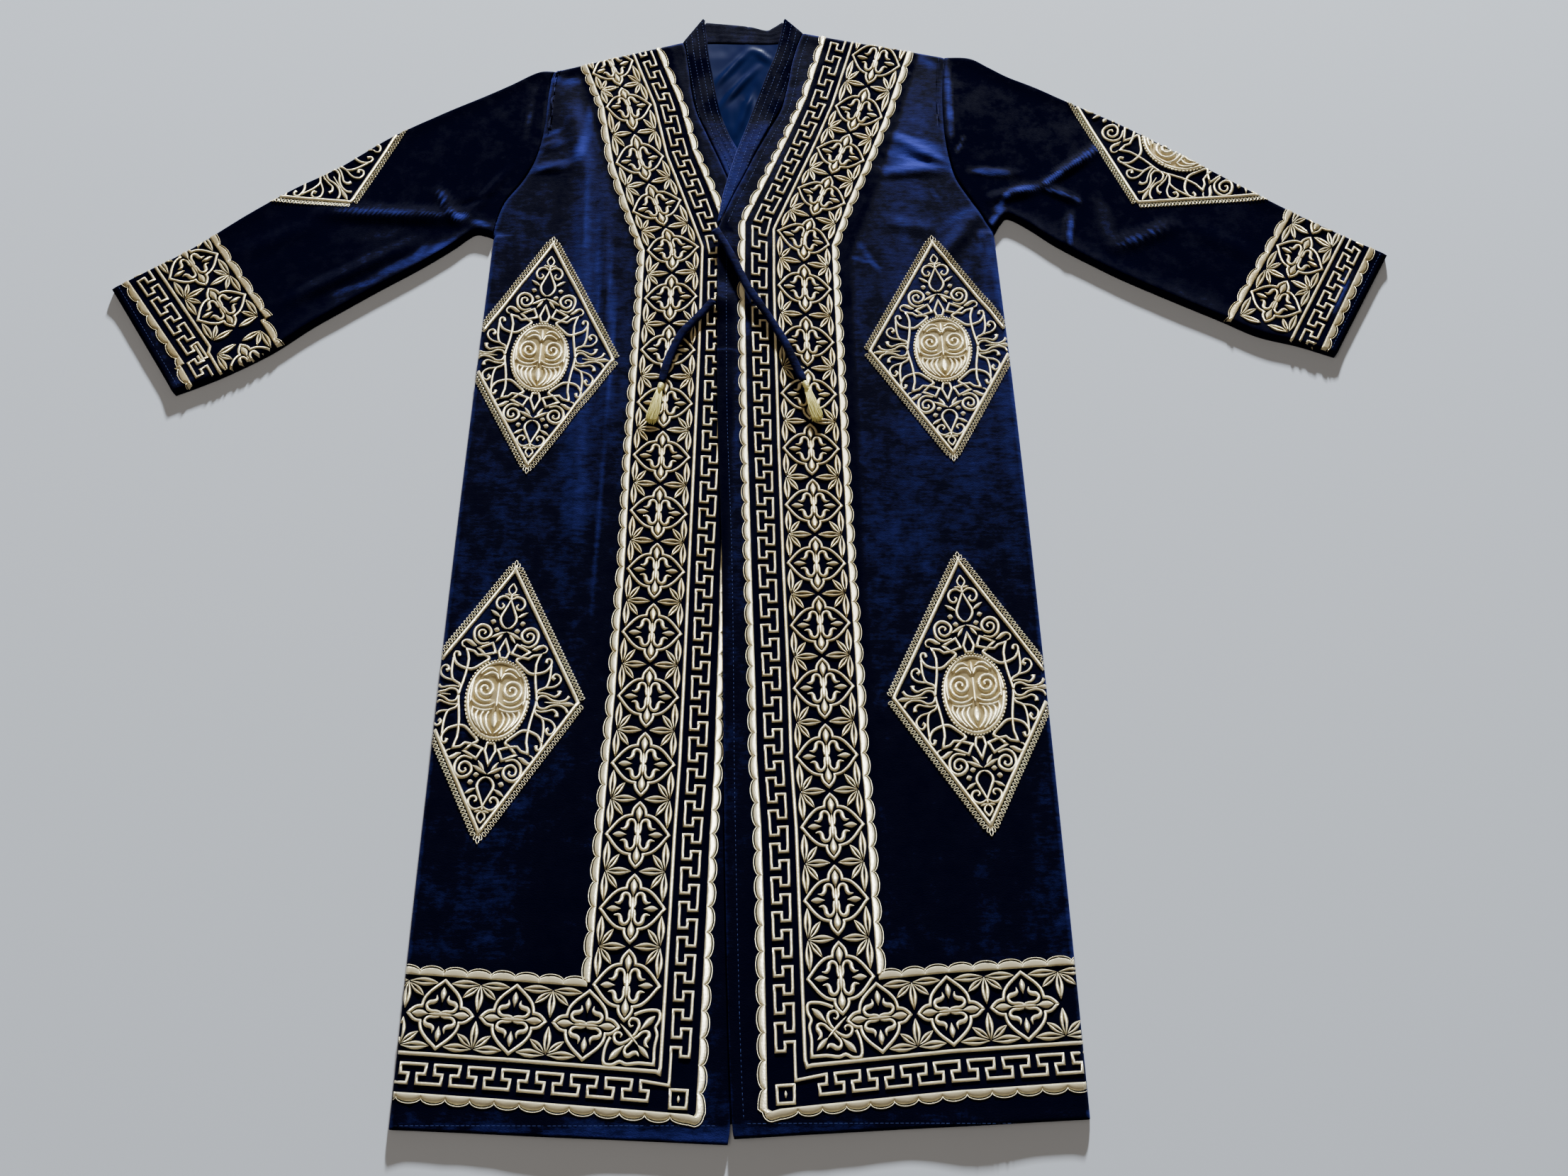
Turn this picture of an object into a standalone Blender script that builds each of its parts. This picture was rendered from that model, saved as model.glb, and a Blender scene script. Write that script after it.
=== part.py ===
"""Uzbek chapan: a lined velvet robe with metallic embroidery, laid flat on its back.

Units are metres, +Z is up and +Y runs from the hem to the neck. The plan is drawn from the middle
of the hem, and left and right are those of someone who looks down at the robe. The empty
robe_origin then moves the plan's middle to the world's origin, on the surface the robe lies on.
"""
import math
from collections import namedtuple

import bmesh
import bpy
from mathutils import Vector
from mathutils.bvhtree import BVHTree
from mathutils.geometry import delaunay_2d_cdt

# ---------------------------------------------------------------- driving sizes
CLOTH = 0.0022         # velvet and its lining
BAND = 0.0030          # the stiff, topstitched neck band
SATIN = 0.0008
STITCH = 0.0008        # height of the flat embroidery
PADDED = 0.0006        # how much higher the padded flowers and ovals stand
SEAM = 0.0003          # clearance at seams and between layers
LAID = 0.0058          # top of a front where it lies on the back
BAND_TOP = 0.0070
SLEEVE_TOP = 0.0064
FOLD = 0.0060          # how far the turn of a folded edge reaches in
PUFF = 0.0014          # how much a folded edge stands above the rest
PUFF_REACH = 0.014
LAP = 0.0037           # rise of the right front where it lies on the left one
LAP_SLOPE = 0.065      # width of the slope at the end of that rise
TIE_LUMP = 0.0038      # rise of the right front over the end of the left tie
BORDER_SCALLOP = 0.0213
SCALLOP_DEPTH = 0.0030
REPEAT = 3 * BORDER_SCALLOP      # one flower of a border
TIE_WIDTH = 0.0060
PLAN_MIDDLE = (0.0100, 0.6018)

FOLD_STEPS = 4         # segments round a folded edge
LOW_ROWS = 12          # sections of a front from the hem to the armpit
HIGH_ROWS = 8          # sections from the armpit to the shoulder
UNDER_BACK = 0.0036    # how far the back keeps inside a folded edge

# ---------------------------------------------------------------- plan of the seams and edges
# Side folds, from the hem corner to the armpit.
SIDE_LEFT = [(-0.2914, 0.0098), (-0.2894, 0.215), (-0.2850, 0.509), (-0.2806, 0.705), (-0.2755, 0.899)]
SIDE_RIGHT = [(0.3037, 0.0178), (0.2993, 0.215), (0.2910, 0.509), (0.2841, 0.705), (0.2745, 0.904)]
# Front edges, from the hem to the crossing of the neck. The left one is hidden from 40 mm up.
EDGE_LEFT = [(-0.0038, -0.0020), (-0.0018, 0.018), (0.0004, 0.100), (0.0030, 0.300), (0.0068, 0.500),
             (0.0108, 0.700), (0.0120, 0.860), (0.0113, 0.900)]
EDGE_RIGHT = [(0.0016, 0.0030), (-0.0004, 0.018), (-0.0050, 0.100), (-0.0118, 0.290), (-0.0174, 0.510),
              (-0.0255, 0.690), (-0.0285, 0.850), (-0.0286, 0.912)]
# Armhole seams, from the shoulder to the armpit.
ARMHOLE_LEFT = [(-0.2210, 1.1260), (-0.2250, 1.1125), (-0.2272, 1.0850), (-0.2288, 1.0400),
                (-0.2360, 1.0000), (-0.2490, 0.9700), (-0.2650, 0.9450), (-0.2725, 0.9200),
                (-0.2755, 0.8990)]
ARMHOLE_RIGHT = [(0.2300, 1.1465), (0.2271, 1.1170), (0.2248, 1.0700), (0.2265, 1.0230),
                 (0.2344, 0.9788), (0.2506, 0.9465), (0.2640, 0.9215), (0.2745, 0.9040)]

Section = namedtuple("Section", "seam_x seam_y free_x free_y")
# The neck band's fronts, from the fold beside the neck to the crossing.
BAND_LEFT = [
    Section(-0.0755, 1.1690, -0.0520, 1.2055),
    Section(-0.0705, 1.1500, -0.0478, 1.1800),
    Section(-0.0665, 1.1250, -0.0440, 1.1480),
    Section(-0.0635, 1.1000, -0.0375, 1.1100),
    Section(-0.0572, 1.0695, -0.0300, 1.0690),
    Section(-0.0440, 1.0360, -0.0190, 1.0360),
    Section(-0.0310, 1.0050, -0.0060, 1.0080),
    Section(-0.0190, 0.9750, 0.0035, 0.9750),
    Section(-0.0040, 0.9380, 0.0115, 0.9380),
    Section(0.0113, 0.9000, 0.0150, 0.9020),
]
BAND_RIGHT = [
    Section(0.0665, 1.1825, 0.0445, 1.2055),
    Section(0.0590, 1.1600, 0.0398, 1.1780),
    Section(0.0530, 1.1350, 0.0335, 1.1500),
    Section(0.0488, 1.1080, 0.0230, 1.1180),
    Section(0.0410, 1.0720, 0.0115, 1.0800),
    Section(0.0263, 1.0410, 0.0010, 1.0430),
    Section(0.0125, 1.0100, -0.0095, 1.0100),
    Section(0.0000, 0.9790, -0.0175, 0.9790),
    Section(-0.0128, 0.9500, -0.0245, 0.9490),
    Section(-0.0260, 0.9160, -0.0298, 0.9140),
]
# The top edge of the band behind the neck, and the line where the satin starts.
NECK_TOP = [(-0.0470, 1.2000), (0.0, 1.1940), (0.0220, 1.1880), (0.0300, 1.1915), (0.0400, 1.2005)]
NECK_LINE = [(-0.0660, 1.1640), (-0.0400, 1.1680), (0.0, 1.1670), (0.0350, 1.1675), (0.0585, 1.1720)]

SleeveSection = namedtuple("SleeveSection", "top_x top_y under_x under_y")
# A sleeve's sections beyond the armhole, out to the cuff.
SLEEVE_LEFT = [
    SleeveSection(-0.2400, 1.1245, -0.2842, 0.9024),
    SleeveSection(-0.2700, 1.1065, -0.2973, 0.9029),
    SleeveSection(-0.3040, 1.0875, -0.3194, 0.8843),
    SleeveSection(-0.3450, 1.0656, -0.3525, 0.8597),
    SleeveSection(-0.4010, 1.0325, -0.3906, 0.8346),
    SleeveSection(-0.4544, 0.9910, -0.4268, 0.8096),
    SleeveSection(-0.5010, 0.9625, -0.4609, 0.7855),
    SleeveSection(-0.5500, 0.9270, -0.4970, 0.7563),
    SleeveSection(-0.6010, 0.8850, -0.5372, 0.7318),
    SleeveSection(-0.6420, 0.8580, -0.5663, 0.7172),
    SleeveSection(-0.6800, 0.8330, -0.5914, 0.7062),
]
SLEEVE_RIGHT = [
    SleeveSection(0.2584, 1.1450, 0.2824, 0.9180),
    SleeveSection(0.2800, 1.1315, 0.2909, 0.9245),
    SleeveSection(0.3006, 1.1180, 0.3120, 0.9119),
    SleeveSection(0.3300, 1.1035, 0.3371, 0.8919),
    SleeveSection(0.3560, 1.0888, 0.3572, 0.8783),
    SleeveSection(0.3840, 1.0730, 0.3773, 0.8658),
    SleeveSection(0.4288, 1.0480, 0.4094, 0.8467),
    SleeveSection(0.4910, 1.0075, 0.4596, 0.8206),
    SleeveSection(0.5538, 0.9650, 0.5098, 0.7955),
    SleeveSection(0.6006, 0.9340, 0.5469, 0.7764),
    SleeveSection(0.6560, 0.9000, 0.5891, 0.7644),
    SleeveSection(0.7000, 0.8760, 0.6247, 0.7513),
]

Crease = namedtuple("Crease", "x0 y0 x1 y1 reach height")
# The largest soft folds of each piece: a ridge from one end to the other.
CREASES_FRONT_LEFT = [
    Crease(-0.2050, 1.0950, -0.1780, 0.9700, 0.016, 0.0024),
    Crease(-0.1780, 0.9900, -0.1660, 0.4700, 0.014, 0.0022),
    Crease(-0.1560, 0.9600, -0.1400, 0.6700, 0.010, 0.0014),
    Crease(-0.2380, 0.9860, -0.1950, 0.9930, 0.010, 0.0018),
    Crease(-0.2300, 1.0140, -0.2080, 1.0260, 0.008, 0.0012),
]
CREASES_FRONT_RIGHT = [
    Crease(0.1640, 1.0330, 0.2250, 0.9950, 0.012, 0.0020),
    Crease(0.1500, 0.9820, 0.2240, 0.9880, 0.012, 0.0018),
    Crease(0.2640, 0.9400, 0.2180, 0.8700, 0.014, 0.0018),
    Crease(0.2700, 0.8900, 0.2600, 0.7600, 0.012, 0.0016),
]
CREASES_SLEEVE_LEFT = [
    Crease(-0.4700, 0.9300, -0.3000, 0.9220, 0.016, 0.0030),
    Crease(-0.3420, 0.9620, -0.3120, 0.9120, 0.009, 0.0024),
    Crease(-0.4900, 0.8150, -0.3600, 0.8900, 0.014, 0.0022),
]
CREASES_SLEEVE_RIGHT = [
    Crease(0.2700, 0.9450, 0.3300, 0.9640, 0.012, 0.0030),
    Crease(0.3300, 0.9640, 0.3980, 1.0150, 0.010, 0.0032),
    Crease(0.3300, 0.9640, 0.3720, 0.9420, 0.010, 0.0022),
    Crease(0.3600, 0.9280, 0.3520, 0.8850, 0.009, 0.0022),
    Crease(0.4000, 0.8820, 0.4750, 0.9150, 0.014, 0.0028),
]
# Wrinkles of the satin in the neck opening.
CREASES_SATIN = [
    Crease(0.0050, 1.1600, -0.0400, 1.1000, 0.007, 0.0020),
    Crease(0.0150, 1.1350, -0.0300, 1.0750, 0.007, 0.0022),
    Crease(0.0080, 1.1000, -0.0110, 1.0350, 0.006, 0.0016),
    Crease(0.0080, 1.1650, 0.0300, 1.1400, 0.006, 0.0016),
]

Rail = namedtuple("Rail", "inner_x inner_y outer_x outer_y")
# The borders' two edges: hem end, hem corner, the bend at the crossing, then up to the shoulder.
BORDER_LEFT_RAILS = [
    Rail(-0.2842, 0.0330, -0.2832, 0.1412),
    Rail(-0.0238, 0.0160, -0.1330, 0.1290),
    Rail(-0.0190, 0.3000, -0.1275, 0.3000),
    Rail(-0.0128, 0.6000, -0.1210, 0.6000),
    Rail(-0.0100, 0.8930, -0.1188, 0.8860),
    Rail(-0.0270, 0.9400, -0.1350, 0.9330),
    Rail(-0.0520, 1.0130, -0.1560, 1.0000),
    Rail(-0.0726, 1.0760, -0.1720, 1.0640),
    Rail(-0.0885, 1.1575, -0.1925, 1.1270),
]
BORDER_RIGHT_RAILS = [
    Rail(0.2965, 0.0365, 0.2945, 0.1512),
    Rail(0.0222, 0.0205, 0.1318, 0.1400),
    Rail(0.0118, 0.3000, 0.1240, 0.3000),
    Rail(0.0005, 0.6000, 0.1125, 0.6000),
    Rail(-0.0072, 0.9120, 0.1040, 0.8930),
    Rail(0.0110, 0.9540, 0.1220, 0.9400),
    Rail(0.0324, 1.0128, 0.1430, 0.9960),
    Rail(0.0600, 1.0860, 0.1640, 1.0530),
    Rail(0.0838, 1.1705, 0.1938, 1.1465),
]
CUFF_LEFT_RAILS = [Rail(-0.6640, 0.8340, -0.5790, 0.8955), Rail(-0.5770, 0.7185, -0.4870, 0.7695)]
CUFF_RIGHT_RAILS = [Rail(0.6880, 0.8760, 0.5985, 0.9300), Rail(0.6190, 0.7600, 0.5215, 0.7975)]

Lozenge = namedtuple("Lozenge", "name x y half_wide half_tall tilt_deg")
MEDALLIONS = [
    Lozenge("upper_left", -0.2133, 0.7545, 0.084, 0.142, -1.9),
    Lozenge("upper_right", 0.2118, 0.7620, 0.084, 0.137, 2.5),
    Lozenge("lower_left", -0.2290, 0.3807, 0.085, 0.139, -3.3),
    Lozenge("lower_right", 0.2258, 0.3890, 0.086, 0.139, 3.8),
]
SLEEVE_MEDALLIONS = [
    Lozenge("sleeve_left", -0.4800, 1.0120, 0.087, 0.140, -57.6),
    Lozenge("sleeve_right", 0.4790, 1.0150, 0.092, 0.140, 58.6),
]
OVAL_WIDE, OVAL_TALL = 0.030, 0.0388
EDGE_KEPT = 0.0068     # embroidery ends this far inside a folded edge

Stop = namedtuple("Stop", "x y arch")
# Routes of the ties, from the front edge to the tassel, and how far each stop is off what it
# lies on.
TIE_RIGHT = [
    Stop(-0.0312, 0.9028, 0.0000), Stop(-0.0215, 0.8857, 0.0003), Stop(-0.0124, 0.8677, 0.0000),
    Stop(-0.0034, 0.8473, 0.0004), Stop(0.0037, 0.8309, 0.0010), Stop(0.0142, 0.8134, 0.0012),
    Stop(0.0261, 0.7948, 0.0006), Stop(0.0363, 0.7776, 0.0000), Stop(0.0454, 0.7606, 0.0000),
    Stop(0.0539, 0.7402, 0.0001), Stop(0.0601, 0.7259, 0.0002), Stop(0.0648, 0.7172, 0.0004),
]
TIE_LEFT = [
    Stop(-0.0322, 0.8150, 0.0000), Stop(-0.0418, 0.8029, 0.0000), Stop(-0.0543, 0.7876, 0.0004),
    Stop(-0.0636, 0.7758, 0.0006), Stop(-0.0717, 0.7600, 0.0000), Stop(-0.0775, 0.7443, 0.0001),
    Stop(-0.0816, 0.7276, 0.0002), Stop(-0.0836, 0.7160, 0.0004),
]
# Where the tassels' ends point.
TIP_RIGHT = (0.0797, 0.6700)
TIP_LEFT = (-0.0951, 0.6640)
TASSEL_LENGTH = 0.048
TASSEL_HEAD = 0.009
TASSEL_ROOT = 0.0026   # half width of the roots in the head
TASSEL_SPREAD = 0.0082  # half width at the ends
STRAND = 0.00045       # radius of a strand
STRAND_LAYERS = [7, 8, 7]
LAYER_ROOT = 0.0017    # rise from one layer to the next, at the head and at the ends
LAYER_END = 0.0019


# ---------------------------------------------------------------- lines in the plan
def smooth(points, steps=6):
    """A soft line through the given points, with steps segments between each two."""
    ends = [Vector(points[0]) * 2 - Vector(points[1]), Vector(points[-1]) * 2 - Vector(points[-2])]
    p = [ends[0]] + [Vector(q) for q in points] + [ends[1]]
    line = []
    for i in range(1, len(p) - 2):
        for k in range(steps):
            t = k / steps
            line.append(0.5 * (2 * p[i] + (p[i + 1] - p[i - 1]) * t
                               + (2 * p[i - 1] - 5 * p[i] + 4 * p[i + 1] - p[i + 2]) * t ** 2
                               + (3 * p[i] - p[i - 1] - 3 * p[i + 1] + p[i + 2]) * t ** 3))
    return line + [p[-2]]


def length_of(line):
    return sum((b - a).length for a, b in zip(line, line[1:]))


def along(line, shares):
    """The points at the given shares of a line's length."""
    total, found, start, i = length_of(line), [], 0.0, 0
    for share in shares:
        want = share * total
        while i < len(line) - 2 and start + (line[i + 1] - line[i]).length < want:
            start += (line[i + 1] - line[i]).length
            i += 1
        step = (line[i + 1] - line[i]).length
        found.append(line[i].lerp(line[i + 1], (want - start) / step))
    return found


def even(count):
    return [i / count for i in range(count + 1)]


def fold_turns():
    """Angles round a folded edge, from the surface it lies on to the top."""
    return [math.pi / 2 * k / FOLD_STEPS for k in range(FOLD_STEPS + 1)]


def seam_shares(line, count):
    """Shares of a seam that runs from fold to fold: close ones in both folds, even ones between."""
    near = FOLD / length_of(line)
    first = [near * (1 - math.cos(turn)) for turn in fold_turns()]
    middle = [near + (1 - 2 * near) * s for s in even(count)][1:-1]
    return first + middle + [1 - s for s in reversed(first)]


def back_points(last):
    """The points of an armhole seam that its flat back layer uses, clear of both folds."""
    return range(FOLD_STEPS - 1, last - FOLD_STEPS + 2, 2)


def seam_rise(index, count):
    """How far the cloth has risen at a seam's point: 0 on the surface, 1 on top."""
    turns = fold_turns()
    near = min(index, count - index)
    return math.sin(turns[near]) if near < len(turns) else 1.0


def crease_rise(creases, x, y):
    """Height that the soft folds add at a point of the plan."""
    rise = 0.0
    for c in creases:
        a, run = Vector((c.x0, c.y0)), Vector((c.x1 - c.x0, c.y1 - c.y0))
        t = (Vector((x, y)) - a).dot(run) / run.length_squared
        away = (Vector((x, y)) - a - run * min(max(t, 0.0), 1.0)).length
        if away < c.reach:
            fade = min(1.0, max(0.0, 0.3 + 2.5 * min(t, 1 - t)))
            rise = max(rise, c.height * fade * math.cos(math.pi / 2 * away / c.reach) ** 2)
    return rise


# ---------------------------------------------------------------- objects
def clear_scene():
    for thing in list(bpy.data.objects):
        bpy.data.objects.remove(thing, do_unlink=True)


def collection(name):
    made = bpy.data.collections.new(name)
    bpy.context.scene.collection.children.link(made)
    return made


def material(name, colour, roughness, metallic=0.0):
    made = bpy.data.materials.new(name)
    made.use_nodes = True
    shader = made.node_tree.nodes["Principled BSDF"]
    shader.inputs["Base Color"].default_value = (*colour, 1.0)
    shader.inputs["Roughness"].default_value = roughness
    shader.inputs["Metallic"].default_value = metallic
    return made


def put(name, mesh, finish):
    """A finished mesh as a named piece of the robe."""
    piece = bpy.data.objects.new(name, mesh)
    mesh.materials.clear()
    mesh.materials.append(finish)
    ROBE.objects.link(piece)
    piece.parent = ORIGIN
    return piece


def mesh_of(points, faces, name):
    mesh = bpy.data.meshes.new(name)
    mesh.from_pydata([tuple(p) for p in points], [], faces)
    shape = bmesh.new()
    shape.from_mesh(mesh)
    bmesh.ops.recalc_face_normals(shape, faces=shape.faces)
    bmesh.ops.triangulate(shape, faces=shape.faces)
    shape.to_mesh(mesh)
    shape.free()
    return mesh


def wall(name, outer, inner, finish, tube=False):
    """A cloth wall between two grids of points: rows of sections, with each section closed in a tube."""
    rows, width = len(outer), len(outer[0])
    points = [p for grid in (outer, inner) for row in grid for p in row]
    inside = rows * width
    cells = [(i, (i + 1) % width) for i in range(width if tube else width - 1)]
    faces = []
    for j in range(rows - 1):
        low, high = j * width, (j + 1) * width
        for a, b in cells:
            faces.append((low + a, low + b, high + b, high + a))
            faces.append((inside + low + a, inside + high + a, inside + high + b, inside + low + b))
    for row in (0, (rows - 1) * width):
        faces += [(row + a, row + b, inside + row + b, inside + row + a) for a, b in cells]
    if not tube:
        for j in range(rows - 1):
            for side in (0, width - 1):
                a, b = j * width + side, (j + 1) * width + side
                faces.append((a, b, inside + b, inside + a))
    return put(name, mesh_of(points, faces, name), finish)


def plate(name, outline, low, high, finish):
    """A flat piece: an outline filled on both sides, from one height to another."""
    curve = bpy.data.curves.new(name, "CURVE")
    curve.dimensions = "2D"
    curve.fill_mode = "BOTH"
    curve.extrude = (high - low) / 2
    line = curve.splines.new("POLY")
    line.points.add(len(outline) - 1)
    for point, place in zip(line.points, outline):
        point.co = (place[0], place[1], 0.0, 1.0)
    line.use_cyclic_u = True
    guide = bpy.data.objects.new(name + "_outline", curve)
    bpy.context.scene.collection.objects.link(guide)
    mesh = bpy.data.meshes.new_from_object(guide.evaluated_get(bpy.context.evaluated_depsgraph_get()))
    bpy.data.objects.remove(guide, do_unlink=True)
    shape = bmesh.new()
    shape.from_mesh(mesh)
    bmesh.ops.remove_doubles(shape, verts=shape.verts, dist=0.00001)
    bmesh.ops.translate(shape, verts=shape.verts, vec=(0.0, 0.0, (high + low) / 2))
    bmesh.ops.recalc_face_normals(shape, faces=shape.faces)
    shape.to_mesh(mesh)
    shape.free()
    return put(name, mesh, finish)


# ---------------------------------------------------------------- fronts
FRONT_COLUMNS = [0.10, 0.19, 0.26, 0.325, 0.375, 0.42, 0.48, 0.57, 0.67, 0.78, 0.89, 1.0]


def front_rows(side, edge, armhole, seam):
    """The plan of a front: a side point, an edge point and the armhole's share at each section."""
    low = even(LOW_ROWS)
    rows = [(a, b, 0.0) for a, b in zip(along(side, low), along(edge, low))][:-1]
    shares = seam_shares(armhole, HIGH_ROWS)
    last = len(shares) - 1
    arm, neck = along(armhole, shares), along(seam, shares)
    for k in range(last, -1, -1):
        above_armpit = math.sin(fold_turns()[last - k]) if last - k <= FOLD_STEPS else 1.0
        rows.append((arm[k], neck[k], above_armpit))
    return rows


def front(name, rows, height, creases, finish):
    """A velvet front: flat on the back, turned down at the side fold and over the shoulder."""
    turns = fold_turns()
    last = len(rows) - 1
    down = (rows[last - FOLD_STEPS][0] - rows[last][0]).normalized()
    outer, inner = [], []
    for j, (side, edge, arm) in enumerate(rows):
        across = (edge - side).normalized()
        width = (edge - side).length
        shoulder = turns[min(last - j, FOLD_STEPS)]
        outer_row, inner_row = [], []
        columns = [(FOLD * (1 - math.cos(turn)), turn) for turn in turns]
        columns += [(FOLD + (width - FOLD) * s, math.pi / 2) for s in FRONT_COLUMNS]
        for inset, turn in columns:
            place = side + across * inset
            side_rise = math.sin(turn) + (1 - math.sin(turn)) * arm
            rise = side_rise * math.sin(shoulder)
            puff = PUFF * max(math.exp(-(inset / PUFF_REACH) ** 2) * (1 - arm),
                              math.exp(-((rows[last][0] - side).length / PUFF_REACH) ** 2))
            fold = crease_rise(creases, place.x, place.y)
            top = height(place.x, place.y) + puff
            outer_row.append((place.x, place.y, (top + fold) * rise))
            inward = across * (CLOTH * math.cos(turn) * (1 - arm)) + down * (CLOTH * math.cos(shoulder))
            inner_row.append((place.x + inward.x, place.y + inward.y,
                              (top + min(fold, 0.0014) - CLOTH) * rise))
        outer.append(outer_row)
        inner.append(inner_row)
    return wall(name, outer, inner, finish), outer


def lap_height(x, y):
    """Top of the right front: raised where it lies on the left one, and over the left tie's end."""
    left_edge = EDGE_LEFT[-2][0] * min(1.0, y / EDGE_LEFT[-2][1]) + 0.008
    slope = min(max((x - left_edge) / LAP_SLOPE, 0.0), 1.0)
    rise = LAP * (0.5 + 0.5 * math.cos(math.pi * slope))
    beside_band = min(max((y - 0.985) / 0.10, 0.0), 1.0)
    lump = math.hypot(x - TIE_LEFT[0][0], y - TIE_LEFT[0][1]) / 0.030
    bump = TIE_LUMP * math.cos(math.pi / 2 * lump) ** 2 if lump < 1 else 0.0
    return LAID + rise * (1 - 0.75 * beside_band) + bump


# ---------------------------------------------------------------- neck
def neck_band(name, sections, shares, top, finish):
    """One front of the neck band, from its fold beside the neck to its point at the crossing."""
    seam = along(smooth([(s.seam_x, s.seam_y) for s in sections]), shares)
    free = along(smooth([(s.free_x, s.free_y) for s in sections]), shares)
    turns = fold_turns()
    down = (free[FOLD_STEPS] - free[0]).normalized()
    outer, inner = [], []
    for j, (a, b) in enumerate(zip(free, seam)):
        turn = turns[min(j, FOLD_STEPS)]
        height = top(b.y)
        b = b + (a - b).normalized() * (SEAM + 0.0001)
        inward = down * (BAND * math.cos(turn))
        row = [a.lerp(b, s) for s in even(3)]
        outer.append([(p.x, p.y, height * math.sin(turn)) for p in row])
        inner.append([(p.x + inward.x, p.y + inward.y, (height - BAND) * math.sin(turn)) for p in row])
    return wall(name, outer, inner, finish)


def right_band_top(y):
    """The right band lies on the left one at the crossing and comes down beside the neck."""
    return BAND_TOP + (BAND + 2 * SEAM) * min(max((1.095 - y) / 0.055, 0.0), 1.0)


def satin_lining(finish):
    """The satin behind the neck opening, wrinkled, on the back panel."""
    rows, columns = 11, 8
    floor = CLOTH + SEAM
    outer, inner = [], []
    for t in even(rows):
        y = 0.995 + (1.1655 - 0.995) * t
        left = -0.0160 - 0.0360 * min(1.0, t * 1.35)
        right = -0.0040 + 0.0540 * min(1.0, t * 1.15)
        line = [(left + (right - left) * s, y) for s in even(columns)]
        inside = [min(1.0, 5 * s * (1 - s)) for s in even(columns)]
        rises = [crease_rise(CREASES_SATIN, *p) * k for p, k in zip(line, inside)]
        outer.append([(x, y_, floor + SATIN + r) for (x, y_), r in zip(line, rises)])
        inner.append([(x, y_, floor + 0.5 * r) for (x, y_), r in zip(line, rises)])
    return wall("neck_lining", outer, inner, finish)


# ---------------------------------------------------------------- sleeves
def sleeve(name, armhole, sections, shares, creases, outward, finish):
    """A sleeve: a tube pressed flat, from the armhole seam to the cuff."""
    seam = along(armhole, shares)
    ends = [(seam[0], seam[-1])] + [(Vector(s[:2]), Vector(s[2:])) for s in sections]
    last = len(shares) - 1
    turns = fold_turns()
    outer, inner = [], []
    for j, (top, under) in enumerate(ends):
        down = (under - top).normalized()
        row, hollow, places = [], [], []
        for k, share in enumerate(shares):
            place = top.lerp(under, share)
            place += (seam[k] - seam[0].lerp(seam[-1], share)) * max(0.0, 1 - j / 3)
            place.x += outward * 0.0004
            places.append(place)
            rise = seam_rise(k, last)
            near = min(k, last - k)
            level = math.cos(turns[near]) if near < len(turns) else 0.0
            inward = down * (CLOTH * level * (1 if k < last / 2 else -1))
            away = min(share, 1 - share) * (under - top).length
            height = SLEEVE_TOP + PUFF * math.exp(-(away / PUFF_REACH) ** 2)
            fold = crease_rise(creases, place.x, place.y)
            row.append((place.x, place.y, (height + fold) * rise))
            hollow.append((place.x + inward.x, place.y + inward.y,
                           CLOTH + (height + min(fold, 0.0014) - 2 * CLOTH) * rise))
        below = [places[k] for k in reversed(back_points(last))]
        outer.append(row + [(p.x, p.y, 0.0) for p in below])
        inner.append(hollow + [(p.x, p.y, CLOTH) for p in below])
    return wall(name, outer, inner, finish, tube=True), [row[:last + 1] for row in outer]


# ---------------------------------------------------------------- back
def inset(line, distance, towards):
    """A line moved sideways, to the side where the point towards lies."""
    moved = []
    for i, p in enumerate(line):
        run = (line[min(i + 1, len(line) - 1)] - line[max(i - 1, 0)]).normalized()
        side = Vector((-run.y, run.x))
        moved.append(p + side * (distance if side.dot(Vector(towards) - p) > 0 else -distance))
    return moved


def back_panel(edges, arm_left, arm_right, finish):
    """The back, flat on the surface, a little inside the folded edges."""
    middle = (0.0, 0.6)
    left = inset(along(edges["side_left"], even(LOW_ROWS)), UNDER_BACK, middle)
    right = inset(along(edges["side_right"], even(LOW_ROWS)), UNDER_BACK, middle)
    neck = [Vector(p) + Vector((0.0, -SEAM)) for p in NECK_LINE]
    used = back_points(len(arm_left) - 1)
    seams = [arm_right[k] for k in reversed(used)], [arm_left[k] for k in used]
    hem = [Vector((-0.0040, 0.0015)), Vector((0.0010, 0.0040))]
    outline = hem + right + seams[0] + neck[::-1] + seams[1] + left[::-1]
    return plate("back_panel", outline, 0.0, CLOTH, finish)


def neck_band_back(finish):
    """The band behind the neck, its inner side up, under the folds of the two fronts."""
    left_fold = [Vector((-0.0690, 1.1680)), Vector((-0.0480, 1.1995))]
    right_fold = [Vector((0.0410, 1.2000)), Vector((0.0605, 1.1790))]
    top = [Vector(p) for p in NECK_TOP[1:-1]]
    line = [Vector(p) for p in NECK_LINE]
    outline = left_fold + top + right_fold + line[::-1]
    return plate("neck_band_back", outline, 0.0, BAND, finish)


# ---------------------------------------------------------------- embroidery
def scalloped(a, b, outward, count):
    """Points of count half-round scallops from a to b, bulging to the side outward."""
    points = []
    for i in range(count):
        for k in range(3):
            share = (i + k / 3) / count
            bulge = 0.0 if k == 0 else SCALLOP_DEPTH
            points.append(a.lerp(b, share) + outward * (bulge - SCALLOP_DEPTH))
    return points


def rail_edge(points, centre_points):
    """A scalloped edge along a rail, bulging away from the line centre_points."""
    edge = []
    for i, (a, b) in enumerate(zip(points, points[1:])):
        run = (b - a).normalized()
        side = Vector((-run.y, run.x))
        if side.dot(centre_points[i].lerp(centre_points[i + 1], 0.5) - a.lerp(b, 0.5)) > 0:
            side = -side
        edge += scalloped(a, b, side, max(1, round((b - a).length / BORDER_SCALLOP)))
    return edge + [points[-1]]


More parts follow.
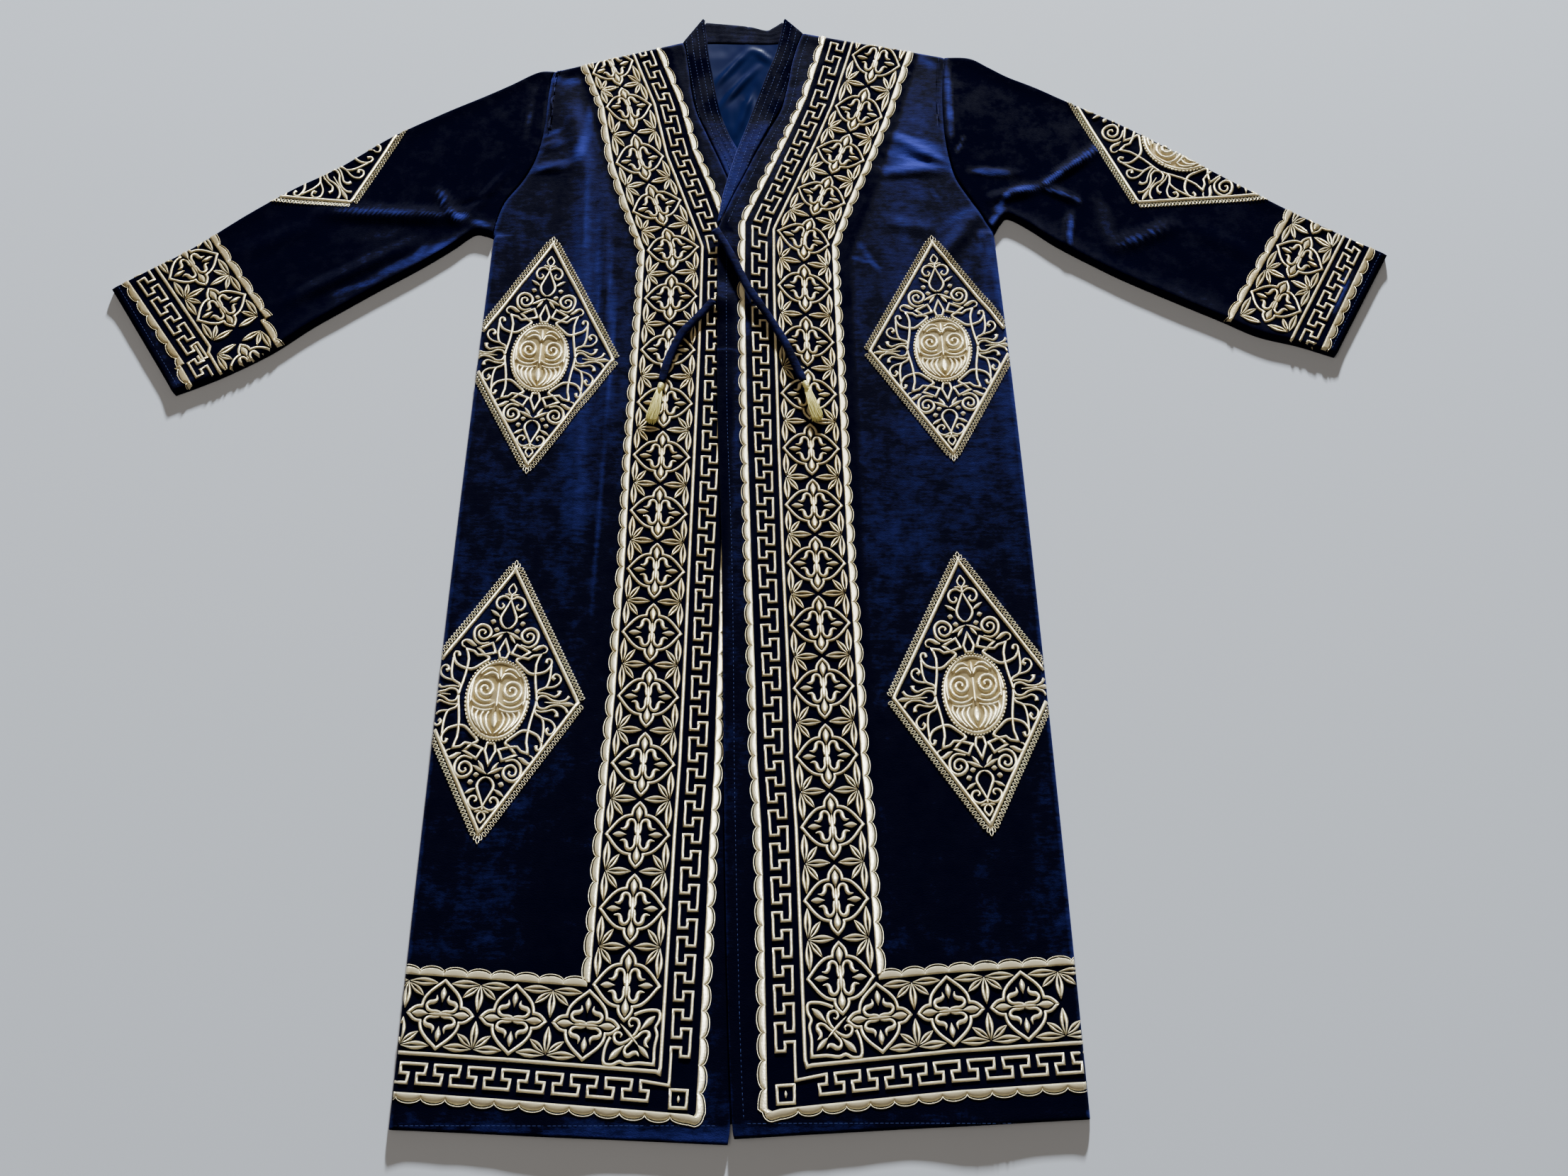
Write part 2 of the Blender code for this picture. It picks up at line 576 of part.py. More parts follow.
def triangles(outline, loops, points):
    """The outline filled with triangles that also use the given loops and points."""
    places = list(outline)
    edges = [(i, (i + 1) % len(outline)) for i in range(len(outline))]
    for loop in loops:
        first = len(places)
        places += loop
        edges += [(first + i, first + (i + 1) % len(loop)) for i in range(len(loop))]
    places += points
    made, _, faces, sources, _, _ = delaunay_2d_cdt([Vector(p[:2]) for p in places], edges, [], 1, 1e-7)
    return made, faces, sources


def inside(point, outline):
    """Whether a point of the plan lies inside an outline."""
    x, y = point[0], point[1]
    found = False
    for a, b in zip(outline, outline[1:] + outline[:1]):
        if (a[1] > y) != (b[1] > y) and x < (b[0] - a[0]) * (y - a[1]) / (b[1] - a[1]) + a[0]:
            found = not found
    return found


def clear_of(point, lines, distance):
    return all((Vector(point[:2]) - Vector(q[:2])).length > distance for line in lines for q in line)


def top_at(ground, x, y):
    """Height of the cloth's top at a point of the plan. Three close rays are cast, because one
    that meets an edge exactly can pass through it."""
    hits = [ground.ray_cast(Vector((x + a, y + b, 1.0)), Vector((0.0, 0.0, -1.0)))[0]
            for a, b in ((0.0, 0.0), (3e-6, 1e-6), (-1e-6, 2e-6))]
    return max(hit.z for hit in hits if hit)


def settle(points, faces, cloth_points, lift):
    """Raise the corners of any triangle that comes nearer than lift to a point of the cloth."""
    for _ in range(4):
        sheet = BVHTree.FromPolygons(points, faces, epsilon=1e-6)
        raised = [0.0] * len(points)
        for p in cloth_points:
            hit, _, face, _ = sheet.ray_cast(Vector((p.x, p.y, 1.0)), Vector((0.0, 0.0, -1.0)))
            if hit and hit.z < p.z + lift:
                for corner in faces[face]:
                    raised[corner] = max(raised[corner], p.z + lift - hit.z)
        points = [(x, y, z + more) for (x, y, z), more in zip(points, raised)]
    return points


def applique(name, outline, cloth, grid, raised, finish):
    """Embroidery on a panel, made from the panel's points moved out. Each of raised is a padded
    form as two loops: its foot, at the height of the flat stitches, and its crown."""
    corners = [v.co.copy() for v in cloth.data.vertices]
    ground = BVHTree.FromPolygons(corners, [tuple(f.vertices) for f in cloth.data.polygons], epsilon=1e-6)
    samples = corners + [corners[e.vertices[0]].lerp(corners[e.vertices[1]], s)
                         for e in cloth.data.edges for s in (0.2, 0.4, 0.6, 0.8)]
    loops = [loop for pair in raised for loop in pair]
    crowns = [tuple(q) for _, crown in raised for q in crown]
    shared = [p for row in grid for p in row if inside(p, outline) and clear_of(p, [outline], 0.002)]
    free = [p for p in shared if clear_of(p, loops, 0.002)]
    lift = SEAM + 0.0001
    top, top_faces, top_source = triangles(outline, loops, free)
    low, low_faces, low_source = triangles(outline, [], shared)
    top_points = [(x, y, top_at(ground, x, y) + lift + STITCH) for x, y in top]
    low_points = settle([(x, y, top_at(ground, x, y) + lift) for x, y in low], low_faces, samples, lift)
    top_points = settle(top_points, top_faces, [Vector(p) for p in low_points], STITCH - 0.0001)
    top_points = settle(top_points, top_faces, samples, lift + STITCH - 0.0002)
    top_points = [(x, y, z + (PADDED if any(math.dist((x, y), q) < 1e-5 for q in crowns) else 0.0))
                  for x, y, z in top_points]
    faces = [tuple(f) for f in top_faces]
    faces += [tuple(len(top) + i for i in reversed(f)) for f in low_faces]
    at_top = {s: i for i, sources in enumerate(top_source) for s in sources}
    at_low = {s: len(top) + i for i, sources in enumerate(low_source) for s in sources}
    for i in range(len(outline)):
        k = (i + 1) % len(outline)
        faces.append((at_top[i], at_low[i], at_low[k], at_top[k]))
    return put(name, mesh_of(top_points + low_points, faces, name), finish)


def oval(x, y, half_wide, half_tall, tilt, sides):
    """A closed oval, or with 4 sides a lozenge, whose tall axis is tilted."""
    c, s = math.cos(tilt), math.sin(tilt)
    ring = []
    for k in range(sides):
        a = 2 * math.pi * k / sides
        u, v = half_wide * math.cos(a), half_tall * math.sin(a)
        ring.append(Vector((x + c * u - s * v, y + s * u + c * v)))
    return ring


def flower_pads(rails, first, spacing, across_share=0.60):
    """Padded lozenges in a row between two rails: pairs of a foot and a crown."""
    inner = [Vector((r.inner_x, r.inner_y)) for r in rails]
    outer = [Vector((r.outer_x, r.outer_y)) for r in rails]
    middle = [a.lerp(b, across_share) for a, b in zip(inner, outer)]
    total = length_of(middle)
    pads, at = [], first
    while at < total - 0.028:
        here, ahead = along(middle, [at / total, (at + 0.001) / total])
        run = ahead - here
        tilt = math.atan2(run.y, run.x) - math.pi / 2
        pads.append((oval(here.x, here.y, 0.0270, 0.0265, tilt, 4),
                     oval(here.x, here.y, 0.0200, 0.0195, tilt, 4)))
        at += spacing
    return pads


def border(name, rails, cloth, grid, hem_first, front_first, finish):
    """A border round a front: along the hem, round the corner and up the edge to the shoulder."""
    inner = [Vector((r.inner_x, r.inner_y)) for r in rails]
    outer = [Vector((r.outer_x, r.outer_y)) for r in rails]
    outline = rail_edge(inner, outer) + list(reversed(rail_edge(outer, inner)))
    pads = flower_pads(rails[:2], hem_first, REPEAT, 0.58)[:3]
    pads += flower_pads(rails[1:], front_first, REPEAT, 0.58)
    return applique(name, outline, cloth, grid, pads, finish)


def trim(outline, line, keep, distance):
    """The part of a closed outline that stays a distance off a line, on the side of keep."""
    start = line[0]
    run = (line[-1] - start).normalized()
    side = Vector((-run.y, run.x))
    if side.dot(Vector(keep) - start) < 0:
        side = -side

    def spare(place):
        u = (place - start).dot(run)
        i = 0
        while i < len(line) - 2 and (line[i + 1] - start).dot(run) < u:
            i += 1
        low, high = (line[i] - start), (line[i + 1] - start)
        t = (u - low.dot(run)) / (high - low).dot(run)
        return (place - start).dot(side) - low.lerp(high, t).dot(side) - distance

    first = max(range(len(outline)), key=lambda i: spare(outline[i]))
    outline = outline[first:] + outline[:first]
    kept, left_at = [], None
    for p, q in zip(outline, outline[1:] + outline[:1]):
        was_in, is_in = spare(p) >= 0, spare(q) >= 0
        if was_in:
            kept.append(p)
        if was_in == is_in:
            continue
        low, high = (p, q) if was_in else (q, p)
        for _ in range(30):
            middle = low.lerp(high, 0.5)
            low, high = (middle, high) if spare(middle) >= 0 else (low, middle)
        if was_in:
            left_at = (low - start).dot(run)
        else:
            back_at = (low - start).dot(run)
            between = [v for v in line if min(left_at, back_at) + 0.004 < (v - start).dot(run)
                       < max(left_at, back_at) - 0.004]
            between.sort(key=lambda v: (v - start).dot(run), reverse=back_at < left_at)
            kept += [v + side * (distance + 0.0001) for v in between]
        kept.append(low)
    return kept


def medallion(lozenge, cloth, grid, fold, keep, finish):
    """An embroidered lozenge with a padded oval, cut off where the cloth turns over a fold."""
    tilt = math.radians(lozenge.tilt_deg)
    corners = oval(lozenge.x, lozenge.y, lozenge.half_wide, lozenge.half_tall, tilt, 4)
    outline = []
    for p, q in zip(corners, corners[1:] + corners[:1]):
        outline += [p.lerp(q, s) for s in even(6)[:-1]]
    outline = trim(outline, fold, keep, EDGE_KEPT)
    foot = oval(lozenge.x, lozenge.y, OVAL_WIDE, OVAL_TALL, tilt, 16)
    crown = oval(lozenge.x, lozenge.y, OVAL_WIDE - 0.003, OVAL_TALL - 0.003, tilt, 16)
    foot = trim(foot, fold, keep, EDGE_KEPT + 0.003)
    crown = trim(crown, fold, keep, EDGE_KEPT + 0.006)
    raised = [(foot, crown)] if len(crown) > 3 else []
    return applique("medallion_" + lozenge.name, outline, cloth, grid, raised, finish)


def cuff_border(name, rails, cloth, grid, first, finish):
    inner = [Vector((r.inner_x, r.inner_y)) for r in rails]
    outer = [Vector((r.outer_x, r.outer_y)) for r in rails]
    outline = rail_edge(inner, outer) + list(reversed(rail_edge(outer, inner)))
    return applique(name, outline, cloth, grid, flower_pads(rails, first, REPEAT, 0.58)[:2], finish)


# ---------------------------------------------------------------- ties and tassels
def ground_of(pieces):
    """The shape of several pieces together, for looking up the height under a tie or tassel."""
    points, faces = [], []
    for piece in pieces:
        faces += [tuple(len(points) + v for v in f.vertices) for f in piece.data.polygons]
        points += [v.co.copy() for v in piece.data.vertices]
    return BVHTree.FromPolygons(points, faces, epsilon=1e-6)


def laid(route, ground):
    """The centre line of a tie that lies on the ground along a route."""
    plan = smooth([(s.x, s.y, s.arch) for s in route], steps=8)
    count = math.ceil(length_of(plan) / 0.013)
    fine = along(plan, even(4 * count))
    levels = []
    for p in fine:
        reach = 0.6 * TIE_WIDTH
        around = [(0.0, 0.0)] + [(reach * math.cos(k), reach * math.sin(k)) for k in range(6)]
        levels.append(max(top_at(ground, p.x + a, p.y + b) for a, b in around))
    line = []
    for i in range(0, len(fine), 4):
        level = max(levels[max(0, i - 4):i + 5])
        line.append(Vector((fine[i].x, fine[i].y, level + SEAM + TIE_WIDTH / 2 + fine[i].z)))
    return line


def tie(name, line, finish):
    """A soft velvet tie: a tube along its centre line."""
    curve = bpy.data.curves.new(name, "CURVE")
    curve.dimensions = "3D"
    curve.bevel_depth = TIE_WIDTH / 2
    curve.bevel_resolution = 2
    curve.use_fill_caps = True
    spline = curve.splines.new("POLY")
    spline.points.add(len(line) - 1)
    for point, place in zip(spline.points, line):
        point.co = (*place, 1.0)
    curve.materials.append(finish)
    piece = bpy.data.objects.new(name, curve)
    ROBE.objects.link(piece)
    piece.parent = ORIGIN
    return piece


def rod(name, points, radii, sides):
    """A closed rod through rings round the given points, as a mesh."""
    shape = bmesh.new()
    rings = []
    for i, (p, radius) in enumerate(zip(points, radii)):
        run = (points[min(i + 1, len(points) - 1)] - points[max(i - 1, 0)]).normalized()
        across = run.cross(Vector((0, 0, 1))).normalized()
        up = across.cross(run)
        rings.append([shape.verts.new(p + (across * math.cos(a) + up * math.sin(a)) * radius)
                      for a in (2 * math.pi * (k + 0.25) / sides for k in range(sides))])
    for low, high in zip(rings, rings[1:]):
        for k in range(sides):
            shape.faces.new((low[k], low[(k + 1) % sides], high[(k + 1) % sides], high[k]))
    shape.faces.new(rings[0][::-1])
    shape.faces.new(rings[-1])
    bmesh.ops.recalc_face_normals(shape, faces=shape.faces)
    mesh = bpy.data.meshes.new(name)
    shape.to_mesh(mesh)
    shape.free()
    return mesh


def tassel(name, line, end, ground, finish):
    """A tassel at the end of a tie: a bound head, and strands whose roots are fused into it."""
    run = Vector((end[0] - line[-1].x, end[1] - line[-1].y, 0.0)).normalized()
    across = run.cross(Vector((0, 0, 1)))
    start = line[-1] + run * (SEAM + 0.0002)
    neck = [start, start + run * 0.002, start + run * 0.006, start + run * TASSEL_HEAD]
    piece = put(name, rod(name, neck, [0.0022, 0.0031, 0.0032, 0.0033], 12), finish)
    strands = bpy.data.collections.new(name + "_strands")
    CUTTERS.children.link(strands)
    for layer, count in enumerate(STRAND_LAYERS):
        above = SEAM + 0.0001 + STRAND + layer * LAYER_END
        for k in range(count):
            side = 2 * (k + 0.5) / count - 1
            root = start + run * (TASSEL_HEAD - 0.002) + across * (TASSEL_ROOT * side)
            root.z += (layer - 1) * LAYER_ROOT
            reach = TASSEL_LENGTH - 0.003 * abs(side) - 0.002 * ((k + layer) % 3)
            tip = start + run * reach + across * (TASSEL_SPREAD * side)
            tip.z = top_at(ground, tip.x, tip.y) + above
            places = [root] + [root.lerp(tip, s) + across * (0.0012 * side * (1 - s)) for s in (0.3, 0.6)]
            for p in places[1:]:
                p.z = max(p.z, top_at(ground, p.x, p.y) + above)
            strand_name = f"{name}_strand_{layer}_{k}"
            mesh = rod(strand_name, places + [tip], [STRAND] * 4, 3)
            strand = bpy.data.objects.new(strand_name, mesh)
            strand.parent = ORIGIN
            strand.hide_render = True
            strand.display_type = "WIRE"
            strands.objects.link(strand)
    union = piece.modifiers.new("strands", "BOOLEAN")
    union.operation = "UNION"
    union.solver = "EXACT"
    union.operand_type = "COLLECTION"
    union.collection = strands
    return piece


# ---------------------------------------------------------------- the robe
clear_scene()
ROBE = collection("uzbek_chapan_robe")
CUTTERS = collection("cutters")
ORIGIN = bpy.data.objects.new("robe_origin", None)
ORIGIN.location = (-PLAN_MIDDLE[0], -PLAN_MIDDLE[1], 0.0)
ROBE.objects.link(ORIGIN)

velvet = material("velvet", (0.010, 0.016, 0.070), 0.65)
satin = material("satin", (0.020, 0.030, 0.110), 0.28)
gold = material("gold_thread", (0.62, 0.48, 0.26), 0.38, 0.8)
pale_gold = material("pale_gold_thread", (0.75, 0.68, 0.32), 0.40, 0.6)

lines = {
    "side_left": smooth(SIDE_LEFT), "side_right": smooth(SIDE_RIGHT),
    "edge_left": smooth(EDGE_LEFT), "edge_right": smooth(EDGE_RIGHT),
    "arm_left": smooth(ARMHOLE_LEFT), "arm_right": smooth(ARMHOLE_RIGHT),
    "seam_left": smooth([(s.seam_x, s.seam_y) for s in BAND_LEFT]),
    "seam_right": smooth([(s.seam_x, s.seam_y) for s in BAND_RIGHT]),
}
shares_left = seam_shares(lines["arm_left"], HIGH_ROWS)
shares_right = seam_shares(lines["arm_right"], HIGH_ROWS)

back_panel(lines, along(lines["arm_left"], shares_left), along(lines["arm_right"], shares_right), velvet)
neck_band_back(velvet)
satin_lining(satin)

rows_left = front_rows(lines["side_left"], lines["edge_left"], lines["arm_left"], lines["seam_left"])
rows_right = front_rows(lines["side_right"], lines["edge_right"], lines["arm_right"], lines["seam_right"])
front_left, grid_left = front("front_left", rows_left, lambda x, y: LAID, CREASES_FRONT_LEFT, velvet)
front_right, grid_right = front("front_right", rows_right, lap_height, CREASES_FRONT_RIGHT, velvet)
neck_band("neck_band_left", BAND_LEFT, shares_left, lambda y: BAND_TOP, velvet)
band_right = neck_band("neck_band_right", BAND_RIGHT, shares_right, right_band_top, velvet)

sleeve_left, sleeve_grid_left = sleeve("sleeve_left", lines["arm_left"], SLEEVE_LEFT, shares_left,
                                       CREASES_SLEEVE_LEFT, -1, velvet)
sleeve_right, sleeve_grid_right = sleeve("sleeve_right", lines["arm_right"], SLEEVE_RIGHT, shares_right,
                                         CREASES_SLEEVE_RIGHT, 1, velvet)

border_left = border("border_left", BORDER_LEFT_RAILS, front_left, grid_left, 0.0286, 0.0422, gold)
border_right = border("border_right", BORDER_RIGHT_RAILS, front_right, grid_right, 0.0420, 0.0400, gold)
for lozenge in MEDALLIONS:
    on_left = lozenge.x < 0
    fold = along(lines["side_left" if on_left else "side_right"], even(40))
    medallion(lozenge, front_left if on_left else front_right, grid_left if on_left else grid_right,
              fold, (0.0, lozenge.y), gold)
for lozenge, cloth, grid, sections in (
        (SLEEVE_MEDALLIONS[0], sleeve_left, sleeve_grid_left, SLEEVE_LEFT),
        (SLEEVE_MEDALLIONS[1], sleeve_right, sleeve_grid_right, SLEEVE_RIGHT)):
    fold = along(smooth([(s.top_x, s.top_y) for s in sections], steps=2), even(24))
    medallion(lozenge, cloth, grid, fold, (sections[5].under_x, sections[5].under_y), gold)
cuff_border("cuff_border_left", CUFF_LEFT_RAILS, sleeve_left, sleeve_grid_left, 0.035, gold)
cuff_border("cuff_border_right", CUFF_RIGHT_RAILS, sleeve_right, sleeve_grid_right, 0.055, gold)

ground = ground_of([front_left, front_right, border_left, border_right, band_right])
line_left, line_right = laid(TIE_LEFT, ground), laid(TIE_RIGHT, ground)
tie("tie_left", line_left, velvet)
tie("tie_right", line_right, velvet)
tassel("tassel_left", line_left, TIP_LEFT, ground, pale_gold)
tassel("tassel_right", line_right, TIP_RIGHT, ground, pale_gold)
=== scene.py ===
import math
from collections import namedtuple

import bmesh
import bpy
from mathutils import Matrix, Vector, geometry, noise
from mathutils.bvhtree import BVHTree


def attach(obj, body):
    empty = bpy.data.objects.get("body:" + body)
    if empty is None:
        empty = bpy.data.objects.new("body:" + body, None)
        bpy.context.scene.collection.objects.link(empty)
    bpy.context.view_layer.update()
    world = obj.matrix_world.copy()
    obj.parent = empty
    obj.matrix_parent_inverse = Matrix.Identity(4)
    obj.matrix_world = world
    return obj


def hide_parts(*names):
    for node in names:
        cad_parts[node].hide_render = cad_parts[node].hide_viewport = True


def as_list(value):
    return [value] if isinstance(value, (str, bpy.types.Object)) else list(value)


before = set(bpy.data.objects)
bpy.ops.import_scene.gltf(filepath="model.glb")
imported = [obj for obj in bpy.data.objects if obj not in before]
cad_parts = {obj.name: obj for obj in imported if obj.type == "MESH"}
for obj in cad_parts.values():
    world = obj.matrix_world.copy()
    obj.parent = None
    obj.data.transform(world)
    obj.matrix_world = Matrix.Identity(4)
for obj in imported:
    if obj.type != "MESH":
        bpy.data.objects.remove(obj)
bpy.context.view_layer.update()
bpy.ops.object.select_all(action="DESELECT")

# ---------------------------------------------------------------- view, floor and light
# The robe lies on a plain pale sheet. Cool daylight comes low from beyond the neck, and a wide warm
# light fills the shadows.

# Places are in metres on a plan seen from above, with its origin at the middle of the hem and +Y
# towards the neck. This is where the frame's origin is on it.
PLAN_MIDDLE = Vector((0.01, 0.6018, 0.0))
bpy.ops.object.camera_add(location=(0.0335, -0.466, 1.0585), rotation=(math.radians(18.711), 0.0, 0.0))
camera = bpy.context.object
camera.data.sensor_width = 36.0
camera.data.lens = 26.04
bpy.context.scene.camera = camera

bpy.ops.mesh.primitive_plane_add(size=12.0, location=(0.0, 0.0, -0.0004))
floor = bpy.context.object
floor.name = "floor"


def add(tree, kind, feeds, out=0, **settings):
    """A new shader node. Each feed is a plain value or another node's output; gives its own output."""
    made = tree.nodes.new("ShaderNode" + kind)
    for setting, value in settings.items():
        setattr(made, setting, value)
    feed(tree, made, feeds)
    return made.outputs[out]


def feed(tree, node, feeds):
    for socket, value in feeds.items():
        if isinstance(value, bpy.types.NodeSocket):
            tree.links.new(value, node.inputs[socket])
        else:
            node.inputs[socket].default_value = value


def plain(name, colour, roughness, **more):
    """A new material, its node tree and its shader. more has further values of the shader."""
    made = bpy.data.materials.new(name)
    made.use_nodes = True
    shader = made.node_tree.nodes["Principled BSDF"]
    feed(made.node_tree, shader, {"Base Color": (*colour, 1.0), "Roughness": roughness})
    feed(made.node_tree, shader, {socket.replace("_", " "): value for socket, value in more.items()})
    return made, made.node_tree, shader


floor_finish, _, _ = plain("pale_sheet", (0.62, 0.67, 0.75), 0.9)
floor.data.materials.append(floor_finish)


def light(name, place, size, power, colour):
    """A square soft light that faces the middle of the robe."""
    bpy.ops.object.light_add(type="AREA", location=place)
    lamp = bpy.context.object
    lamp.name = name
    lamp.data.size = size
    lamp.data.energy = power
    lamp.data.color = colour
    lamp.rotation_euler = (-Vector(place)).to_track_quat("-Z", "Y").to_euler()


light("daylight", (0.75, 7.3, 1.9), 0.42, 2200.0, (0.92, 0.965, 1.0))
light("ceiling", (-0.7, -0.3, 4.0), 3.0, 38.0, (1.0, 0.87, 0.72))
world = bpy.data.worlds.new("room")
bpy.context.scene.world = world
world.use_nodes = True
background = world.node_tree.nodes["Background"]
feed(world.node_tree, background, {"Color": (0.8, 0.72, 0.64, 1.0), "Strength": 0.12})

# ---------------------------------------------------------------- ties
# Two soft tubes of the same velvet, about 9 mm wide and pressed flat, that close the robe. The
# right one is sewn under the front edge at the crossing, the left one comes from under that edge.
Stop = namedtuple("Stop", "x y arch")
TIE_RIGHT = [Stop(*row) for row in (
    (-0.0312, 0.9028, 0.0), (-0.0215, 0.8857, 0.0003), (-0.0124, 0.8677, 0.0), (-0.0034, 0.8473, 0.0004),
    (0.0037, 0.8309, 0.001), (0.0142, 0.8134, 0.0012), (0.0261, 0.7948, 0.0006), (0.0363, 0.7776, 0.0),
    (0.0454, 0.7606, 0.0), (0.0539, 0.7402, 0.0001), (0.0601, 0.7259, 0.0002), (0.0648, 0.7172, 0.0004),
)]
TIE_LEFT = [Stop(*row) for row in (
    (-0.0322, 0.815, 0.0), (-0.0418, 0.8029, 0.0), (-0.0543, 0.7876, 0.0004), (-0.0636, 0.7758, 0.0006),
    (-0.0717, 0.76, 0.0), (-0.0775, 0.7443, 0.0001), (-0.0816, 0.7276, 0.0002), (-0.0836, 0.716, 0.0004),
)]
TIE_HALF_WIDE, TIE_HALF_THICK = 0.0044, 0.0023


def smooth(points, steps=8):
    """A soft line through the given points, with steps segments between each two."""
    ends = [Vector(points[0]) * 2 - Vector(points[1]), Vector(points[-1]) * 2 - Vector(points[-2])]
    p = [ends[0]] + [Vector(q) for q in points] + [ends[1]]
    line = []
    for i in range(1, len(p) - 2):
        for k in range(steps):
            t = k / steps
            line.append(0.5 * (2 * p[i] + (p[i + 1] - p[i - 1]) * t
                               + (2 * p[i - 1] - 5 * p[i] + 4 * p[i + 1] - p[i + 2]) * t ** 2
                               + (3 * p[i] - p[i - 1] - 3 * p[i + 1] + p[i + 2]) * t ** 3))
    return line + [p[-2]]


def length_of(line):
    return sum((b - a).length for a, b in zip(line, line[1:]))


def along(line, shares):
    """The points at the given shares, in rising order, of a line's length."""
    total, found, start, i = length_of(line), [], 0.0, 0
    for share in shares:
        want = share * total
        while i < len(line) - 2 and start + (line[i + 1] - line[i]).length < want:
            start += (line[i + 1] - line[i]).length
            i += 1
        step = (line[i + 1] - line[i]).length
        found.append(line[i].lerp(line[i + 1], (want - start) / step))
    return found


def even(count):
    return [i / count for i in range(count + 1)]


def ground_of(points, faces):
    """A look-up of the height of a surface at a point of the plan, or None beside it."""
    tree = BVHTree.FromPolygons(points, faces, epsilon=1e-6)

    def height(x, y):
        for a, b in ((0.0, 0.0), (3e-6, 1e-6), (-1e-6, 2e-6)):
            hit = tree.ray_cast(Vector((x + a, y + b, 1.0)), Vector((0.0, 0.0, -1.0)))[0]
            if hit:
                return hit.z
        return None
    return height


def frame_ground(*names):
    """The same for CAD nodes, moved to the plan."""
    points, faces = [], []
    for name in names:
        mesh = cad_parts[name].data
        faces += [tuple(len(points) + v for v in f.vertices) for f in mesh.polygons]
        points += [v.co + PLAN_MIDDLE for v in mesh.vertices]
    return ground_of(points, faces)


def piece(name, points, faces, finish, stands_for=(), uvs=None, values=None, closed=True):
    """A finished mesh at its place, which rides on the robe. uvs has a pair for each point, which is
    its place on the plan unless given, and values a shade. A closed mesh is turned outwards."""
    mesh = bpy.data.meshes.new(name)
    mesh.from_pydata([(p[0] - PLAN_MIDDLE.x, p[1] - PLAN_MIDDLE.y, p[2]) for p in points], [], faces)
    layer = mesh.uv_layers.new(name="lay").data
    corners = [0] * len(mesh.loops)
    mesh.loops.foreach_get("vertex_index", corners)
    layer.foreach_set("uv", [c for v in corners for c in (uvs or points)[v][:2]])
    if values:
        mesh.attributes.new("shade", "FLOAT", "POINT").data.foreach_set("value", values)
    if closed:
        shape = bmesh.new()
        shape.from_mesh(mesh)
        bmesh.ops.recalc_face_normals(shape, faces=shape.faces)
        shape.to_mesh(mesh)
        shape.free()
    mesh.materials.append(finish)
    mesh.polygons.foreach_set("use_smooth", [True] * len(mesh.polygons))
    made = bpy.data.objects.new(name, mesh)
    bpy.context.collection.objects.link(made)
    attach(made, "root")
    if stands_for:
        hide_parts(*stands_for)
    return made


def grid_faces(rows, width, ring=False, first=0, leftward=True):
    """Quads between rows of points. They face up if the rows run up and their points run left."""
    faces = []
    for j in range(rows - 1):
        for i in range(width if ring else width - 1):
            a, b = first + j * width + i, first + j * width + (i + 1) % width
            faces.append((a, a + width, b + width, b) if leftward else (a, b, b + width, a + width))
    return faces


def ramp(tree, share, low, high, start=0.0, end=1.0):
    """From start to end as the share goes from low to high."""
    return add(tree, "MapRange", {"From Min": low, "From Max": high, "To Min": start, "To Max": end,
                                  "Value": share})


def mixed(tree, share, low, high, dark, colour):
    """The same between two colours."""
    return add(tree, "Mix", {"A": (*dark, 1.0), "B": (*colour, 1.0), "Factor": ramp(tree, share, low, high)},
               "Result", data_type="RGBA")


def relief(tree, shader, height, strength, depth):
    """Fine bumps on the surface, depth metres at most."""
    bumps = add(tree, "Bump", {"Strength": strength, "Distance": depth, "Height": height})
    feed(tree, shader, {"Normal": bumps})


def velvet_finish(name, deep, painted_sheen_colour, pile):
    """Silk velvet: nearly black, painted royal blue as sheen where the shade attribute and blotches are high.
    """
    made, tree, shader = plain(name, deep, 0.85)
    feed(tree, shader, {"Specular Tint": (0.5, 0.58, 1.0, 1.0), "Sheen Roughness": 0.3,
                        "Sheen Tint": (0.2, 0.22, 0.72, 1.0)})
    place = add(tree, "TexCoord", {}, "Object")
    shade = add(tree, "Attribute", {}, "Fac", attribute_name="shade")
    blotch = add(tree, "TexNoise", {"Scale": 55.0, "Detail": 7.0, "Roughness": 0.72, "Vector": place})
    turned_place = add(tree, "Mapping", {"Rotation": (0.0, 0.0, 0.3), "Scale": (90.0, 420.0, 90.0),
                                         "Vector": place})
    brush = add(tree, "TexNoise", {"Scale": 1.0, "Detail": 3.0, "Vector": turned_place})
    uneven = ramp(tree, brush, 0.3, 0.7, 0.74, 1.26)
    lifted = add(tree, "Math", {0: shade, 1: uneven}, operation="MULTIPLY")
    # lean: random blotches plus the painted light and shade of the attribute, broken into brushed streaks.
    lean = add(tree, "Math", {0: blotch, 1: 0.44, 2: lifted}, operation="MULTIPLY_ADD")
    bloom = ramp(tree, lean, 0.165, 1.045, 0.0, 0.42)
    haze = ramp(tree, lean, 0.225, 0.385, 0.0, 0.036)
    # The base colour is painted sheen: it goes from nearly black to royal blue as lean rises.
    feed(tree, shader, {"Base Color": mixed(tree, lean, 0.365, 1.195, deep, painted_sheen_colour),
                        "Sheen Weight": bloom, "Specular IOR Level": haze})
    fibre = add(tree, "TexNoise", {"Scale": 900.0, "Detail": 3.0, "Vector": place})
    relief(tree, shader, fibre, pile, 0.0006)
    return made


# The second colour is the painted royal-blue sheen.
velvet = velvet_finish("velvet", (0.0012, 0.0013, 0.0075), (0.034, 0.043, 0.31), 0.5)


